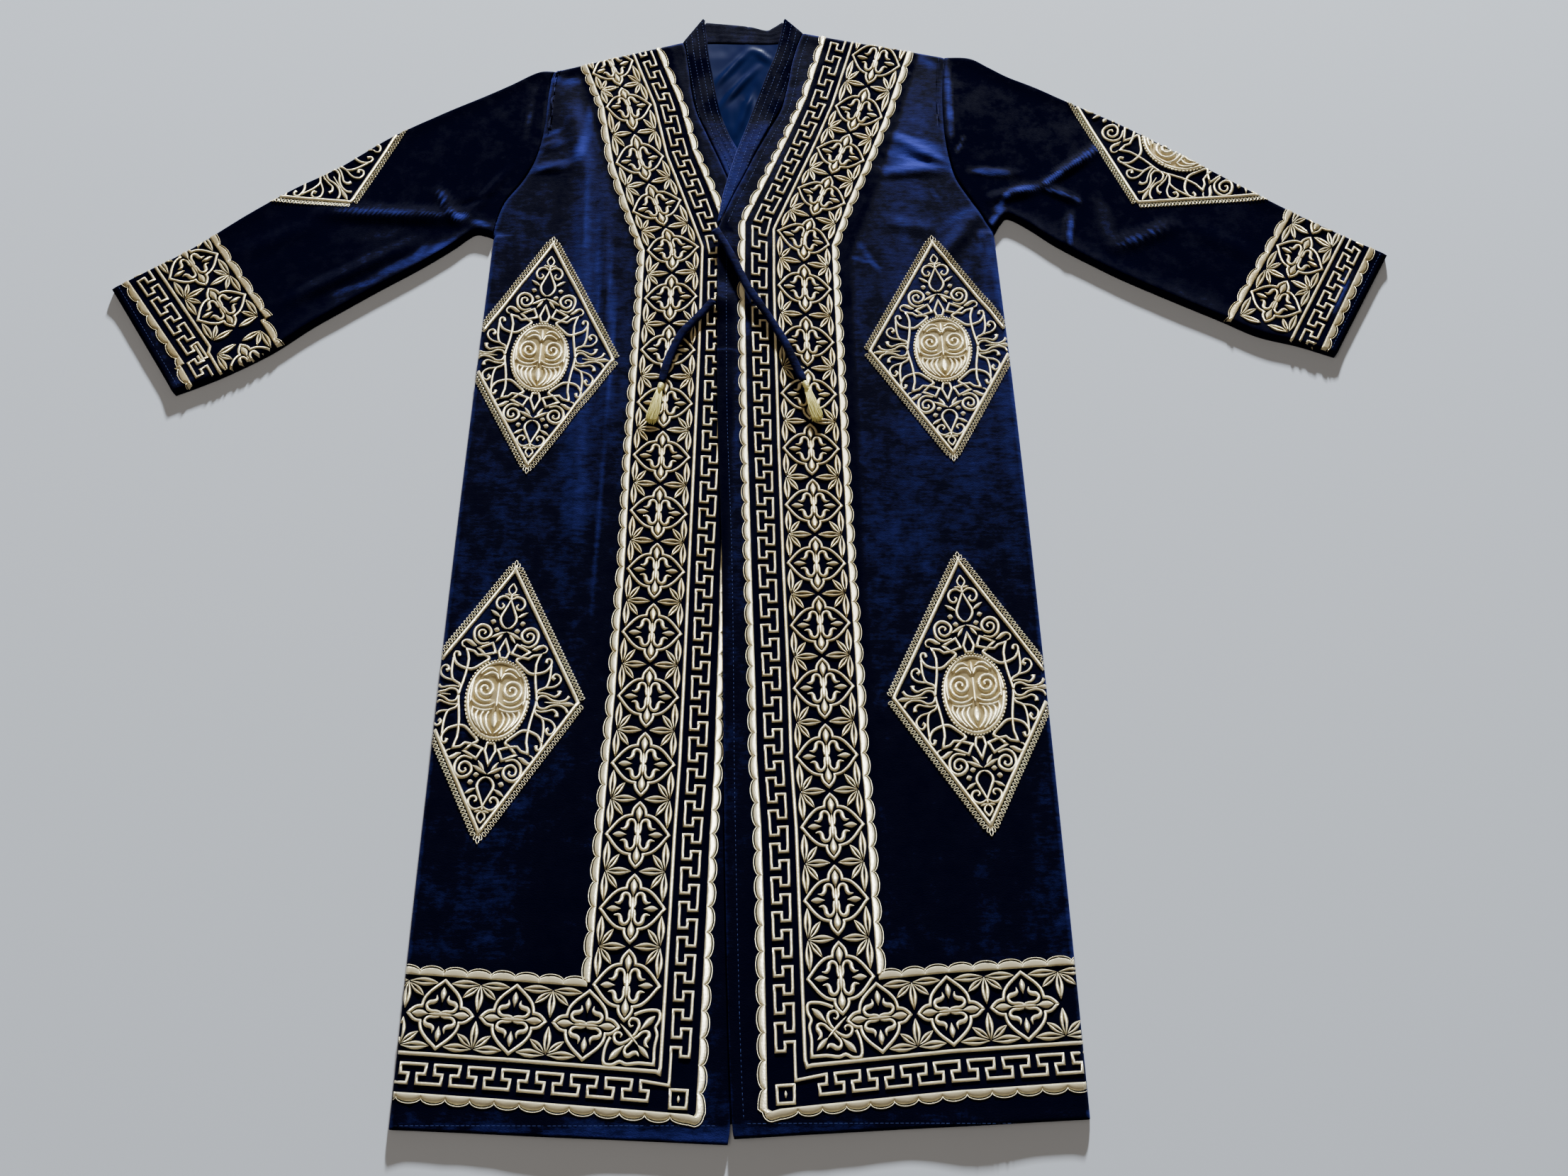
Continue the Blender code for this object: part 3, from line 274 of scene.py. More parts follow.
def laid(route, ground, half_thick):
    """The middle line of a tie that lies on the ground along its route."""
    plan = smooth([(s.x, s.y, s.arch) for s in route])
    fine = along(plan, even(math.ceil(length_of(plan) / 0.0022)))
    levels = []
    for p in fine:
        around = [(0.8 * TIE_HALF_WIDE * math.cos(k), 0.8 * TIE_HALF_WIDE * math.sin(k)) for k in range(6)]
        levels.append(max(ground(p.x + a, p.y + b) or 0.0 for a, b in around + [(0.0, 0.0)]))
    reach = 6
    highest = [max(levels[max(0, i - reach):i + reach + 1]) for i in range(len(levels))]
    line = []
    for i, p in enumerate(fine):
        near = highest[max(0, i - reach):i + reach + 1]
        line.append(Vector((p.x, p.y, sum(near) / len(near) + 0.0002 + half_thick + p.z)))
    return line


def tube(shape, line, halves, sides, square=1.0):
    """Adds a closed tube round a line, with a half width and a half height at each of its points."""
    points, faces, uvs = shape
    first, run = len(points), 0.0
    for i, (p, (wide, high)) in enumerate(zip(line, halves)):
        ahead = (line[min(i + 1, len(line) - 1)] - line[max(i - 1, 0)]).normalized()
        across = ahead.cross(Vector((0, 0, 1))).normalized()
        up = across.cross(ahead)
        run += (p - line[i - 1]).length if i else 0.0
        for k in range(sides):
            c, s = math.cos(math.tau * k / sides), math.sin(math.tau * k / sides)
            points.append(p + across * (wide * c) + up * (high * math.copysign(abs(s) ** square, s)))
            uvs.append((run, k / sides))
    faces.extend(grid_faces(len(line), sides, ring=True, first=first))
    faces.extend([tuple(range(first, first + sides)), tuple(range(len(points) - sides, len(points)))])


def tie_sizes(line, seed):
    """The tube's half width and half thickness, uneven along it and narrowed into the tassel."""
    sizes, run, total = [], 0.0, length_of(line)
    for i, p in enumerate(line):
        run += (p - line[i - 1]).length if i else 0.0
        soft = noise.noise(Vector((run * 42.0, seed, 0.0)))
        narrow = min(1.0, 0.45 + (total - run) / 0.009)
        sizes.append((TIE_HALF_WIDE * (1 + 0.1 * soft) * narrow, TIE_HALF_THICK * (1 - 0.06 * soft)))
    return sizes


cad_ground = frame_ground("front_left", "front_right", "border_left", "border_right",
                          "neck_band_left", "neck_band_right")
lines_of_ties = {}
for side, route, seed in (("right", TIE_RIGHT, 1.7), ("left", TIE_LEFT, 4.1)):
    line = laid(route, cad_ground, TIE_HALF_THICK)
    points, faces, uvs = shape = ([], [], [])
    tube(shape, line, tie_sizes(line, seed), 16, 0.8)
    lines_of_ties[side] = line
    piece("velvet_tie_" + side, points, faces, velvet, ("tie_" + side,), uvs,
                       [0.2] * len(points))

# ---------------------------------------------------------------- tassels
# Pale gold silk: a head bound with thread round the tie's end, and about sixty loose strands in
# three layers that spread a little over the embroidery they lie on.
TIP = {"right": (0.0797, 0.67), "left": (-0.0951, 0.664)}
HEAD_LENGTH, TASSEL_LENGTH, TASSEL_SPREAD, STRAND = 0.0095, 0.048, 0.006, 0.00034
ROOT_HALF, BOUND = 0.0026, 0.0015      # the strands' half width at the head, and their length in it


def thread_finish(name, colour, dark, metallic, roughness, stitch, step):
    """Metallic or silk thread, laid side by side across the piece: ribs along the UV's first axis."""
    made, tree, shader = plain(name, colour, roughness, Metallic=metallic, Specular_IOR_Level=0.6)
    lay = add(tree, "UVMap", {}, uv_map="lay")
    ribs = add(tree, "TexWave", {"Scale": 0.314 / step, "Distortion": 1.6, "Detail": 2.0, "Detail Scale": 1.4,
                                 "Vector": lay}, "Fac", wave_profile="SIN", bands_direction="X")
    place = add(tree, "TexCoord", {}, "Object")
    # Random patches, partly painted glints and partly uneven thread tone.
    glint_and_tone = add(tree, "TexNoise", {"Scale": 60.0, "Detail": 4.0, "Vector": place})
    # The colour goes from the shaded copy to the lit one: painted shade between ribs, random patches, and the
    # attribute's painted light and shade.
    both = add(tree, "Math", {0: ribs, 1: 0.35, 2: glint_and_tone}, operation="MULTIPLY_ADD")
    shade = add(tree, "Attribute", {}, "Fac", attribute_name="shade")
    lit = add(tree, "Math", {0: both, 1: shade})
    feed(tree, shader, {"Base Color": mixed(tree, lit, 0.45, 0.95, dark, colour)})
    relief(tree, shader, ribs, stitch, 0.0004)
    return made


# The second colour of a thread is a shaded copy of the first, for painted shade.
silk = thread_finish("pale_gold_thread", (1.0, 0.93, 0.36), (0.66, 0.57, 0.13), 0.2, 0.34, 0.3, 0.0008)


def tassel(side, seed):
    """The bound head, then layers of wavy strands from the head to the tip."""
    line = lines_of_ties[side]
    end = line[-1]
    run = Vector((TIP[side][0] - end.x, TIP[side][1] - end.y, 0.0)).normalized()
    across = run.cross(Vector((0, 0, 1)))
    start = end + run * 0.0006
    points, faces, uvs = shape = ([], [], [])
    # The head: a crown, then rings of binding thread.
    head, halves = [], []
    for k in range(41):
        t = k / 40
        ring = 0.00022 * abs(math.sin(math.pi * 7 * t))
        bulb = 0.0022 + 0.001 * math.sin(math.pi * min(1.0, t * 1.15)) ** 0.6
        head.append(start + run * (HEAD_LENGTH * t))
        halves.append((bulb + ring, bulb + ring))
    tube(shape, head, halves, 14)
    for layer, count in enumerate((20, 22, 20)):
        for k in range(count):
            chance = noise.noise(Vector((k * 3.7, layer * 9.1, seed)))
            other = noise.noise(Vector((k * 2.3, layer * 5.3, seed + 7.0)))
            side_share = 2 * (k + 0.5) / count - 1
            root = start + run * (HEAD_LENGTH - BOUND) + across * (ROOT_HALF * side_share)
            root.z += (layer - 1) * 0.0014 - 0.0004
            reach = TASSEL_LENGTH - 0.0025 * side_share ** 2 + 0.0022 * chance
            spread = TASSEL_SPREAD * (side_share + 0.1 * other)
            rest = 0.0005 + STRAND + layer * 0.0013
            places = []
            for i in range(9):
                t = i / 8
                out = (t ** 0.75) * spread + 0.001 * math.sin(math.pi * t) * other
                out += 0.0007 * t * math.sin(9.0 * t * (1 + chance) + 6.0 * k)
                p = start + run * (HEAD_LENGTH - BOUND + (reach - HEAD_LENGTH) * t)
                p += across * (ROOT_HALF * side_share * (1 - t) + out)
                low = (cad_ground(p.x, p.y) or 0.0) + rest
                low += 0.0012 * (1 + 1.6 * chance) * math.sin(math.pi * t)
                p.z = root.z * (1 - min(1.0, t * 1.6)) + max(low, 0.0) * min(1.0, t * 1.6)
                places.append(p)
            tube(shape, places, [(STRAND, STRAND)] * 8 + [(STRAND * 0.6, STRAND * 0.6)], 4)
    return piece("silk_tassel_" + side, points, faces, silk, ("tassel_" + side,), uvs,
                 [0.3] * len(points))


for side, seed in (("right", 2.5), ("left", 6.5)):
    made = tassel(side, seed)
    line = lines_of_ties[side]
    round(length_of(line), 4)

# ---------------------------------------------------------------- fronts
# Two lined velvet panels, turned under at the sides and the shoulders. The right one lies over
# the left one from the hem to the crossing of the neck. The robe was folded and carried, so soft
# ridges run down from the armholes, and the hem lifts a little off the sheet here and there.
CLOTH, FOLD, LAID = 0.0022, 0.006, 0.0058
PUFF, PUFF_REACH, HEM_REACH = 0.0014, 0.014, 0.055
LAP, LAP_SLOPE, TIE_LUMP = 0.0037, 0.065, 0.0038
SIDE_LEFT = [(-0.2914, 0.0098), (-0.2894, 0.215), (-0.285, 0.509), (-0.2806, 0.705), (-0.2755, 0.899)]
SIDE_RIGHT = [(0.3037, 0.0178), (0.2993, 0.215), (0.291, 0.509), (0.2841, 0.705), (0.2745, 0.904)]
EDGE_LEFT = [(-0.0038, -0.002), (-0.0018, 0.018), (0.0004, 0.1), (0.003, 0.3), (0.0068, 0.5),
             (0.0108, 0.7), (0.012, 0.86), (0.0113, 0.9)]
EDGE_RIGHT = [(0.0016, 0.003), (-0.0004, 0.018), (-0.005, 0.1), (-0.0118, 0.29), (-0.0174, 0.51),
              (-0.0255, 0.69), (-0.0285, 0.85), (-0.0286, 0.912)]
ARMHOLE_LEFT = [(-0.221, 1.126), (-0.225, 1.1125), (-0.2272, 1.085), (-0.2288, 1.04),
                (-0.236, 1.0), (-0.249, 0.97), (-0.265, 0.945), (-0.2725, 0.92),
                (-0.2755, 0.899)]
ARMHOLE_RIGHT = [(0.23, 1.1465), (0.2271, 1.117), (0.2248, 1.07), (0.2265, 1.023),
                 (0.2344, 0.9788), (0.2506, 0.9465), (0.264, 0.9215), (0.2745, 0.904)]
Section = namedtuple("Section", "seam_x seam_y free_x free_y")
BAND_LEFT = [Section(*row) for row in (
    (-0.0755, 1.169, -0.052, 1.2055), (-0.0705, 1.15, -0.0478, 1.18), (-0.0665, 1.125, -0.044, 1.148),
    (-0.0635, 1.1, -0.0375, 1.11), (-0.0572, 1.0695, -0.03, 1.069), (-0.044, 1.036, -0.019, 1.036),
    (-0.031, 1.005, -0.006, 1.008), (-0.019, 0.975, 0.0035, 0.975), (-0.004, 0.938, 0.0115, 0.938),
    (0.0113, 0.9, 0.015, 0.902),
)]
BAND_RIGHT = [Section(*row) for row in (
    (0.0665, 1.1825, 0.0445, 1.2055), (0.059, 1.16, 0.0398, 1.178), (0.053, 1.135, 0.0335, 1.15),
    (0.0488, 1.108, 0.023, 1.118), (0.041, 1.072, 0.0115, 1.08), (0.0263, 1.041, 0.001, 1.043),
    (0.0125, 1.01, -0.0095, 1.01), (0.0, 0.979, -0.0175, 0.979), (-0.0128, 0.95, -0.0245, 0.949),
    (-0.026, 0.916, -0.0298, 0.914),
)]
# A crease runs from one end to the other; a negative height makes a trough.
Crease = namedtuple("Crease", "x0 y0 x1 y1 reach height")
CREASES_FRONT_LEFT = [Crease(*row) for row in (
    (-0.205, 1.095, -0.178, 0.97, 0.016, 0.0024), (-0.178, 0.99, -0.166, 0.47, 0.014, 0.0022),
    (-0.156, 0.96, -0.14, 0.67, 0.01, 0.0014), (-0.238, 0.986, -0.195, 0.993, 0.01, 0.0018),
    (-0.23, 1.014, -0.208, 1.026, 0.008, 0.0012), (-0.193, 0.96, -0.182, 0.7, 0.012, -0.0008),
    (-0.252, 0.93, -0.242, 0.81, 0.012, 0.0008), (-0.15, 0.46, -0.148, 0.26, 0.016, 0.0007),
)]
CREASES_FRONT_RIGHT = [Crease(*row) for row in (
    (0.164, 1.033, 0.225, 0.995, 0.012, 0.002), (0.15, 0.982, 0.224, 0.988, 0.012, 0.0018),
    (0.264, 0.94, 0.218, 0.87, 0.014, 0.0018), (0.27, 0.89, 0.26, 0.76, 0.012, 0.0016),
    (0.17, 1.008, 0.224, 0.99, 0.008, -0.0008), (0.152, 0.918, 0.21, 0.906, 0.014, 0.0009),
    (0.148, 0.73, 0.146, 0.46, 0.014, 0.0007), (0.26, 0.56, 0.27, 0.33, 0.016, 0.0008),
)]
HEM_LIFT = [(-0.29, 0.0006), (-0.22, 0.001), (-0.15, 0.0024), (-0.09, 0.001), (-0.03, 0.0014), (0.02, 0.0004),
            (0.08, 0.0018), (0.15, 0.0008), (0.21, 0.0026), (0.27, 0.0012), (0.31, 0.0005)]
FOLD_STOPS = [FOLD * (1 - math.cos(math.pi / 2 * k / 6)) for k in range(7)]
EDGE_STOPS = [0.0, 0.0005, 0.0014, 0.003]
SPACING = 0.0037       # from one row of points to the next


def stops(length, spacing, first, last):
    """Distances along a length: close ones near both ends as listed, even ones between."""
    count = max(1, round((length - first[-1] - last[-1]) / spacing))
    span = length - first[-1] - last[-1]
    return first[:-1] + [first[-1] + span * s for s in even(count)] + [length - d for d in last[:-1][::-1]]


def turned(distance):
    """How far the cloth has risen round a folded edge: 0 on the sheet, 1 on top."""
    share = min(max(distance / FOLD, 0.0), 1.0)
    return math.sqrt(1 - (1 - share) ** 2)


def rolled(distance):
    """How far a sewn edge rolls down towards its very end."""
    share = min(distance / EDGE_STOPS[-1], 1.0)
    return 0.001 * (1 - math.sqrt(1 - (1 - share) ** 2))


def seam_dip(distance):
    """How far the cloth dips towards a seam."""
    return 0.0009 * max(0.0, 1 - distance / 0.004) ** 2


def creased(creases, x, y):
    rise = 0.0
    for c in creases:
        run_x, run_y = c.x1 - c.x0, c.y1 - c.y0
        t = ((x - c.x0) * run_x + (y - c.y0) * run_y) / (run_x ** 2 + run_y ** 2)
        s = min(max(t, 0.0), 1.0)
        away = math.hypot(x - c.x0 - run_x * s, y - c.y0 - run_y * s)
        if away < c.reach:
            fade = min(1.0, max(0.0, 0.25 + 2.5 * min(t, 1 - t)))
            rise += c.height * fade * math.cos(math.pi / 2 * away / c.reach) ** 2
    return rise


def handled(x, y, seed):
    """The slight unevenness of velvet that has been handled."""
    return (0.0003 * noise.noise(Vector((x * 16, y * 9, seed)))
            + 0.00013 * noise.noise(Vector((x * 60, y * 34, seed + 3))))


def between(table, x):
    for (a, u), (b, v) in zip(table, table[1:]):
        if x <= b:
            return u + (v - u) * (0.5 - 0.5 * math.cos(math.pi * min(max((x - a) / (b - a), 0.0), 1.0)))
    return table[-1][1]


def shades(points, rows, width, base):
    """Painted light and shade for velvet: lighter on what faces the daylight and beside folds and hems,
    darker on what faces away.
    """
    values = []
    for j in range(rows):
        for i in range(width):
            p = points[j * width + i]
            ahead, behind = points[min(j + 1, rows - 1) * width + i], points[max(j - 1, 0) * width + i]
            right, left = points[j * width + min(i + 1, width - 1)], points[j * width + max(i - 1, 0)]
            one, two = Vector(ahead) - Vector(behind), Vector(right) - Vector(left)
            normal = one.cross(two)
            if normal.z < 0:
                normal = -normal
            normal.normalize()
            # Painted light: lighter where the surface faces the daylight and at side folds, darker where it
            # faces away.
            lean = min(max(1.1 * normal.y + 0.3 * abs(normal.x), -0.3), 0.13)
            values.append(min(max(base(p[0], p[1]) + lean, 0.0), 1.0))
    return values


def thick(made, thickness):
    """The cloth's thickness, added under its top."""
    bpy.context.view_layer.objects.active = made
    wall = made.modifiers.new("thickness", "SOLIDIFY")
    wall.thickness = thickness
    wall.offset = -1.0
    bpy.ops.object.modifier_apply(modifier=wall.name)
    for corner in made.data.vertices:
        corner.co.z = max(corner.co.z, 0.0)
    return made


def panel(node, points, width, thickness, values, leftward=False, finish=velvet, slot="velvet"):
    """A layer of cloth from rows of points, width to a row, that stands for one node."""
    faces = grid_faces(len(points) // width, width, leftward=leftward)
    made = piece(slot + "_" + node, points, faces, finish, (node,), values=values, closed=False)
    return thick(made, thickness)


def front(where, side, edge, armhole, band, height, creases):
    """A front on rows of points from the side fold to the free edge or the band's seam."""
    side_line, edge_line, arm_line = smooth(side), smooth(edge), smooth(armhole)
    seam_line = smooth([s[:2] for s in band])
    low = stops(length_of(side_line), SPACING, EDGE_STOPS, [0.0])
    shares = [d / low[-1] for d in low]
    pairs = zip(along(side_line, shares), along(edge_line, shares), low)
    rows = [(a, b, d, 0.0, 1.0) for a, b, d in pairs][:-1]
    arm_length = length_of(arm_line)
    high = stops(arm_length, SPACING, FOLD_STOPS, FOLD_STOPS)
    shares = [d / arm_length for d in high]
    for a, b, d in list(zip(along(arm_line, shares), along(seam_line, shares), high))[::-1]:
        rows.append((a, b, 1.0, turned(arm_length - d), turned(d)))
    widest = (rows[0][1] - rows[0][0]).length
    last_side = rows[-1][0]
    across_stops = [d / widest for d in stops(widest, SPACING, FOLD_STOPS, EDGE_STOPS)]
    points = []
    for a, b, from_hem, arm, shoulder in rows:
        run, width = (b - a).normalized(), (b - a).length
        for k, share in enumerate(across_stops):
            if k < len(FOLD_STOPS):
                inset = share * widest
            elif k < len(across_stops) - len(EDGE_STOPS):
                inset = share * width
            else:
                inset = width - (1 - share) * widest
            p = a + run * inset
            from_edge = width - inset
            rise = (turned(inset) + (1 - turned(inset)) * arm) * shoulder
            puff = PUFF * max(math.exp(-(inset / PUFF_REACH) ** 2) * (1 - arm),
                              math.exp(-((last_side - a).length / PUFF_REACH) ** 2))
            lift = between(HEM_LIFT, p.x) * math.exp(-(from_hem / HEM_REACH) ** 2)
            z = height(p.x, p.y) + puff + creased(creases, p.x, p.y) + handled(p.x, p.y, 1.0) + lift
            z = (z - rolled(from_hem) - rolled(from_edge) - seam_dip(inset) * arm) * rise
            points.append((p.x, p.y, z))
    width = len(across_stops)
    values = shades(points, len(rows), width, front_shade)
    made = panel("front_" + where, points, width, CLOTH, values, where == "right")
    return made, ground_of(points, grid_faces(len(rows), width))


def lap_height(x, y):
    """Top of the right front: raised where it lies on the left one, and over the left tie's end."""
    left_edge = EDGE_LEFT[-2][0] * min(1.0, y / EDGE_LEFT[-2][1]) + 0.008
    slope = min(max((x - left_edge) / LAP_SLOPE, 0.0), 1.0)
    rise = LAP * (0.5 + 0.5 * math.cos(math.pi * slope))
    beside_band = min(max((y - 0.985) / 0.1, 0.0), 1.0)
    lump = math.hypot(x - TIE_LEFT[0].x, y - TIE_LEFT[0].y) / 0.03
    bump = TIE_LUMP * math.cos(math.pi / 2 * lump) ** 2 if lump < 1 else 0.0
    return LAID + rise * (1 - 0.75 * beside_band) + bump


BORDER_MIDDLE = [(-0.177, 1.22), (-0.1558, 1.13), (-0.119, 1.0), (-0.0975, 0.9385), (-0.079, 0.882),
                 (-0.079, 0.757), (-0.085, 0.446), (-0.094, 0.125)]


def under_gold(x, y):
    """1 under the border and a little beside it, where the front's painted sheen is mostly left out; 0
    further off.
    """
    p, inside = Vector((-abs(x), y)), -1.0
    for a, b in zip(BORDER_MIDDLE, BORDER_MIDDLE[1:]):
        foot, share = geometry.intersect_point_line(p, Vector(a), Vector(b))
        if 0 <= share <= 1:
            inside = max(inside, (0.041 if p.x < foot.x else 0.074) - (p - foot).length)
    if y < 0.16 and p.x < -0.03:
        inside = max(inside, 0.062 - abs(y - 0.085))
    return min(1.0, max(0.0, inside / 0.006))


# Painted sheen streaks, given as creases are: ends, reach and strength.
SHEEN_FRONT_LEFT = [Crease(*row) for row in (
    (-0.228, 1.113, -0.19, 1.108, 0.009, 0.45), (-0.226, 1.115, -0.229, 1.06, 0.005, 0.25),
    (-0.174, 1.095, -0.179, 1.04, 0.008, 0.4), (-0.179, 1.04, -0.19, 0.995, 0.01, 0.45),
    (-0.23, 1.03, -0.205, 1.045, 0.005, 0.3), (-0.235, 1.008, -0.206, 1.023, 0.005, 0.3),
    (-0.24, 0.984, -0.195, 0.99, 0.006, 0.42), (-0.176, 0.99, -0.172, 0.87, 0.005, 0.22),
    (-0.162, 0.93, -0.154, 0.77, 0.005, 0.19), (-0.146, 0.89, -0.14, 0.76, 0.005, 0.16),
    (-0.205, 1.09, -0.2, 0.97, 0.02, 0.07), (-0.17, 0.76, -0.164, 0.55, 0.014, 0.03),
    (-0.26, 0.93, -0.2, 0.91, 0.01, 0.08),
)]
SHEEN_BESIDE_BORDER = [Crease(*row) for row in (
    (-0.137, 0.84, -0.14, 0.66, 0.004, 0.17), (-0.14, 0.66, -0.144, 0.46, 0.0035, 0.14),
)]
SHEEN_FRONT_RIGHT = [Crease(*row) for row in (
    (0.195, 1.142, 0.224, 1.132, 0.01, 0.5), (0.155, 1.036, 0.224, 1.012, 0.012, 0.42),
    (0.157, 1.02, 0.229, 1.002, 0.011, 0.46), (0.162, 1.004, 0.23, 0.99, 0.014, 0.5),
    (0.145, 0.983, 0.2, 0.988, 0.01, 0.36), (0.145, 1.001, 0.165, 1.015, 0.01, 0.36),
    (0.124, 0.892, 0.149, 0.851, 0.005, 0.28), (0.116, 0.872, 0.144, 0.864, 0.004, 0.25),
    (0.206, 0.964, 0.216, 0.945, 0.005, 0.22), (0.21, 0.905, 0.25, 0.937, 0.006, 0.26),
    (0.266, 0.9, 0.274, 0.81, 0.005, 0.2), (0.254, 0.875, 0.262, 0.908, 0.006, 0.22),
    (0.185, 1.11, 0.2, 0.93, 0.04, 0.1), (0.205, 0.84, 0.175, 0.62, 0.03, 0.06),
)]
SHEEN_SLEEVE_LEFT = [Crease(*row) for row in (
    (-0.46, 0.932, -0.356, 0.925, 0.005, 0.34), (-0.356, 0.925, -0.3, 0.924, 0.004, 0.4),
    (-0.32, 0.925, -0.28, 0.912, 0.006, 0.34), (-0.341, 0.96, -0.33, 0.935, 0.004, 0.42),
    (-0.33, 0.935, -0.308, 0.912, 0.004, 0.36), (-0.445, 0.824, -0.39, 0.844, 0.007, 0.22),
    (-0.4, 0.848, -0.308, 0.896, 0.012, 0.2), (-0.36, 0.87, -0.342, 0.893, 0.006, 0.18),
    (-0.46, 0.905, -0.34, 0.9, 0.02, 0.08), (-0.242, 1.11, -0.25, 1.02, 0.006, 0.12),
    (-0.645, 0.805, -0.6, 0.735, 0.006, 0.1),
)]
SHEEN_SLEEVE_RIGHT = [Crease(*row) for row in (
    (0.396, 1.015, 0.36, 0.986, 0.004, 0.62), (0.36, 0.986, 0.327, 0.9626, 0.004, 0.66),
    (0.327, 0.9626, 0.296, 0.957, 0.006, 0.6), (0.296, 0.957, 0.276, 0.931, 0.006, 0.55),
    (0.327, 0.9626, 0.37, 0.945, 0.004, 0.5), (0.363, 0.946, 0.373, 0.944, 0.006, 0.35),
    (0.248, 0.986, 0.302, 0.979, 0.008, 0.42), (0.3605, 0.924, 0.3535, 0.884, 0.005, 0.46),
    (0.406, 0.884, 0.464, 0.909, 0.005, 0.42), (0.266, 0.91, 0.288, 0.937, 0.005, 0.42),
    (0.232, 1.142, 0.233, 1.025, 0.006, 0.42), (0.236, 1.006, 0.248, 1.034, 0.004, 0.3),
    (0.39, 0.96, 0.402, 0.89, 0.015, 0.12), (0.66, 0.865, 0.625, 0.79, 0.006, 0.3),
)]


def brushed(sheen, x, y):
    """A painted sheen streak broken up into finer ones that run down and outwards."""
    across, along_x = 0.94 * y + 0.33 * abs(x), 0.94 * abs(x) - 0.33 * y
    return sheen * (0.95 + 1.1 * noise.noise(Vector((across * 150, along_x * 28, 2.0))))


def front_shade(x, y):
    """Painted light of a front: lighter towards the shoulders, sheen streaks down the panels, light along the
    hem, less under the borders.
    """
    streak = noise.noise(Vector((x * 26, y * 2.2, 8.0)))
    patch = noise.noise(Vector((x * 7, y * 5, 2.0)))
    # The painted sheen: lighter towards the shoulders, with random streaks and patches and the listed sheen
    # streaks.
    painted_sheen = 0.11 + 0.06 * min(1.0, max(0.0, (y - 0.3) / 0.25)) + 0.09 * streak + 0.05 * patch
    painted_sheen += 0.88 * brushed(creased(SHEEN_FRONT_LEFT if x < 0 else SHEEN_FRONT_RIGHT, x, y), x, y)
    # hem_light is a painted light along the hem.
    hem_light = 0.3 * max(0.0, 1 - y / 0.016)
    return painted_sheen * (1 - 0.85 * under_gold(x, y)) + hem_light + creased(SHEEN_BESIDE_BORDER, x, y)


cloth_left, top_left = front("left", SIDE_LEFT, EDGE_LEFT, ARMHOLE_LEFT, BAND_LEFT, lambda x, y: LAID,
                             CREASES_FRONT_LEFT)
cloth_right, top_right = front("right", SIDE_RIGHT, EDGE_RIGHT, ARMHOLE_RIGHT, BAND_RIGHT, lap_height,
                               CREASES_FRONT_RIGHT)

# ---------------------------------------------------------------- sleeves
# Straight wide tubes of lined velvet, narrower at the cuff, pressed flat. Each hangs in folds
# from the armpit, where the cloth bunches.
SLEEVE_TOP = 0.0064
SleeveSection = namedtuple("SleeveSection", "top_x top_y under_x under_y")
SLEEVE_LEFT = [SleeveSection(*row) for row in (
    (-0.24, 1.1245, -0.2842, 0.9024), (-0.27, 1.1065, -0.2973, 0.9029), (-0.304, 1.0875, -0.3194, 0.8843),
    (-0.345, 1.0656, -0.3525, 0.8597), (-0.401, 1.0325, -0.3906, 0.8346), (-0.4544, 0.991, -0.4268, 0.8096),
    (-0.501, 0.9625, -0.4609, 0.7855), (-0.55, 0.927, -0.497, 0.7563), (-0.601, 0.885, -0.5372, 0.7318),
    (-0.642, 0.858, -0.5663, 0.7172), (-0.68, 0.833, -0.5914, 0.7062),
)]
SLEEVE_RIGHT = [SleeveSection(*row) for row in (
    (0.2584, 1.145, 0.2824, 0.918), (0.28, 1.1315, 0.2909, 0.9245), (0.3006, 1.118, 0.312, 0.9119),
    (0.33, 1.1035, 0.3371, 0.8919), (0.356, 1.0888, 0.3572, 0.8783), (0.384, 1.073, 0.3773, 0.8658),
    (0.4288, 1.048, 0.4094, 0.8467), (0.491, 1.0075, 0.4596, 0.8206), (0.5538, 0.965, 0.5098, 0.7955),
    (0.6006, 0.934, 0.5469, 0.7764), (0.656, 0.9, 0.5891, 0.7644), (0.7, 0.876, 0.6247, 0.7513),
)]
CREASES_SLEEVE_LEFT = [Crease(*row) for row in (
    (-0.47, 0.93, -0.3, 0.922, 0.016, 0.003), (-0.342, 0.962, -0.312, 0.912, 0.009, 0.0024),
    (-0.49, 0.815, -0.36, 0.89, 0.014, 0.0022), (-0.305, 0.925, -0.262, 0.99, 0.01, 0.0012),
    (-0.33, 0.933, -0.28, 0.95, 0.007, -0.0008), (-0.56, 0.87, -0.46, 0.92, 0.018, 0.0008),
)]
CREASES_SLEEVE_RIGHT = [Crease(*row) for row in (
    (0.27, 0.945, 0.33, 0.964, 0.012, 0.003), (0.33, 0.964, 0.398, 1.015, 0.01, 0.0032),
    (0.33, 0.964, 0.372, 0.942, 0.01, 0.0022), (0.36, 0.928, 0.352, 0.885, 0.009, 0.0022),
    (0.4, 0.882, 0.475, 0.915, 0.014, 0.0028), (0.255, 0.985, 0.31, 0.98, 0.009, 0.0014),
    (0.238, 1.13, 0.235, 1.03, 0.007, 0.001), (0.56, 0.87, 0.49, 0.91, 0.018, 0.0008),
)]


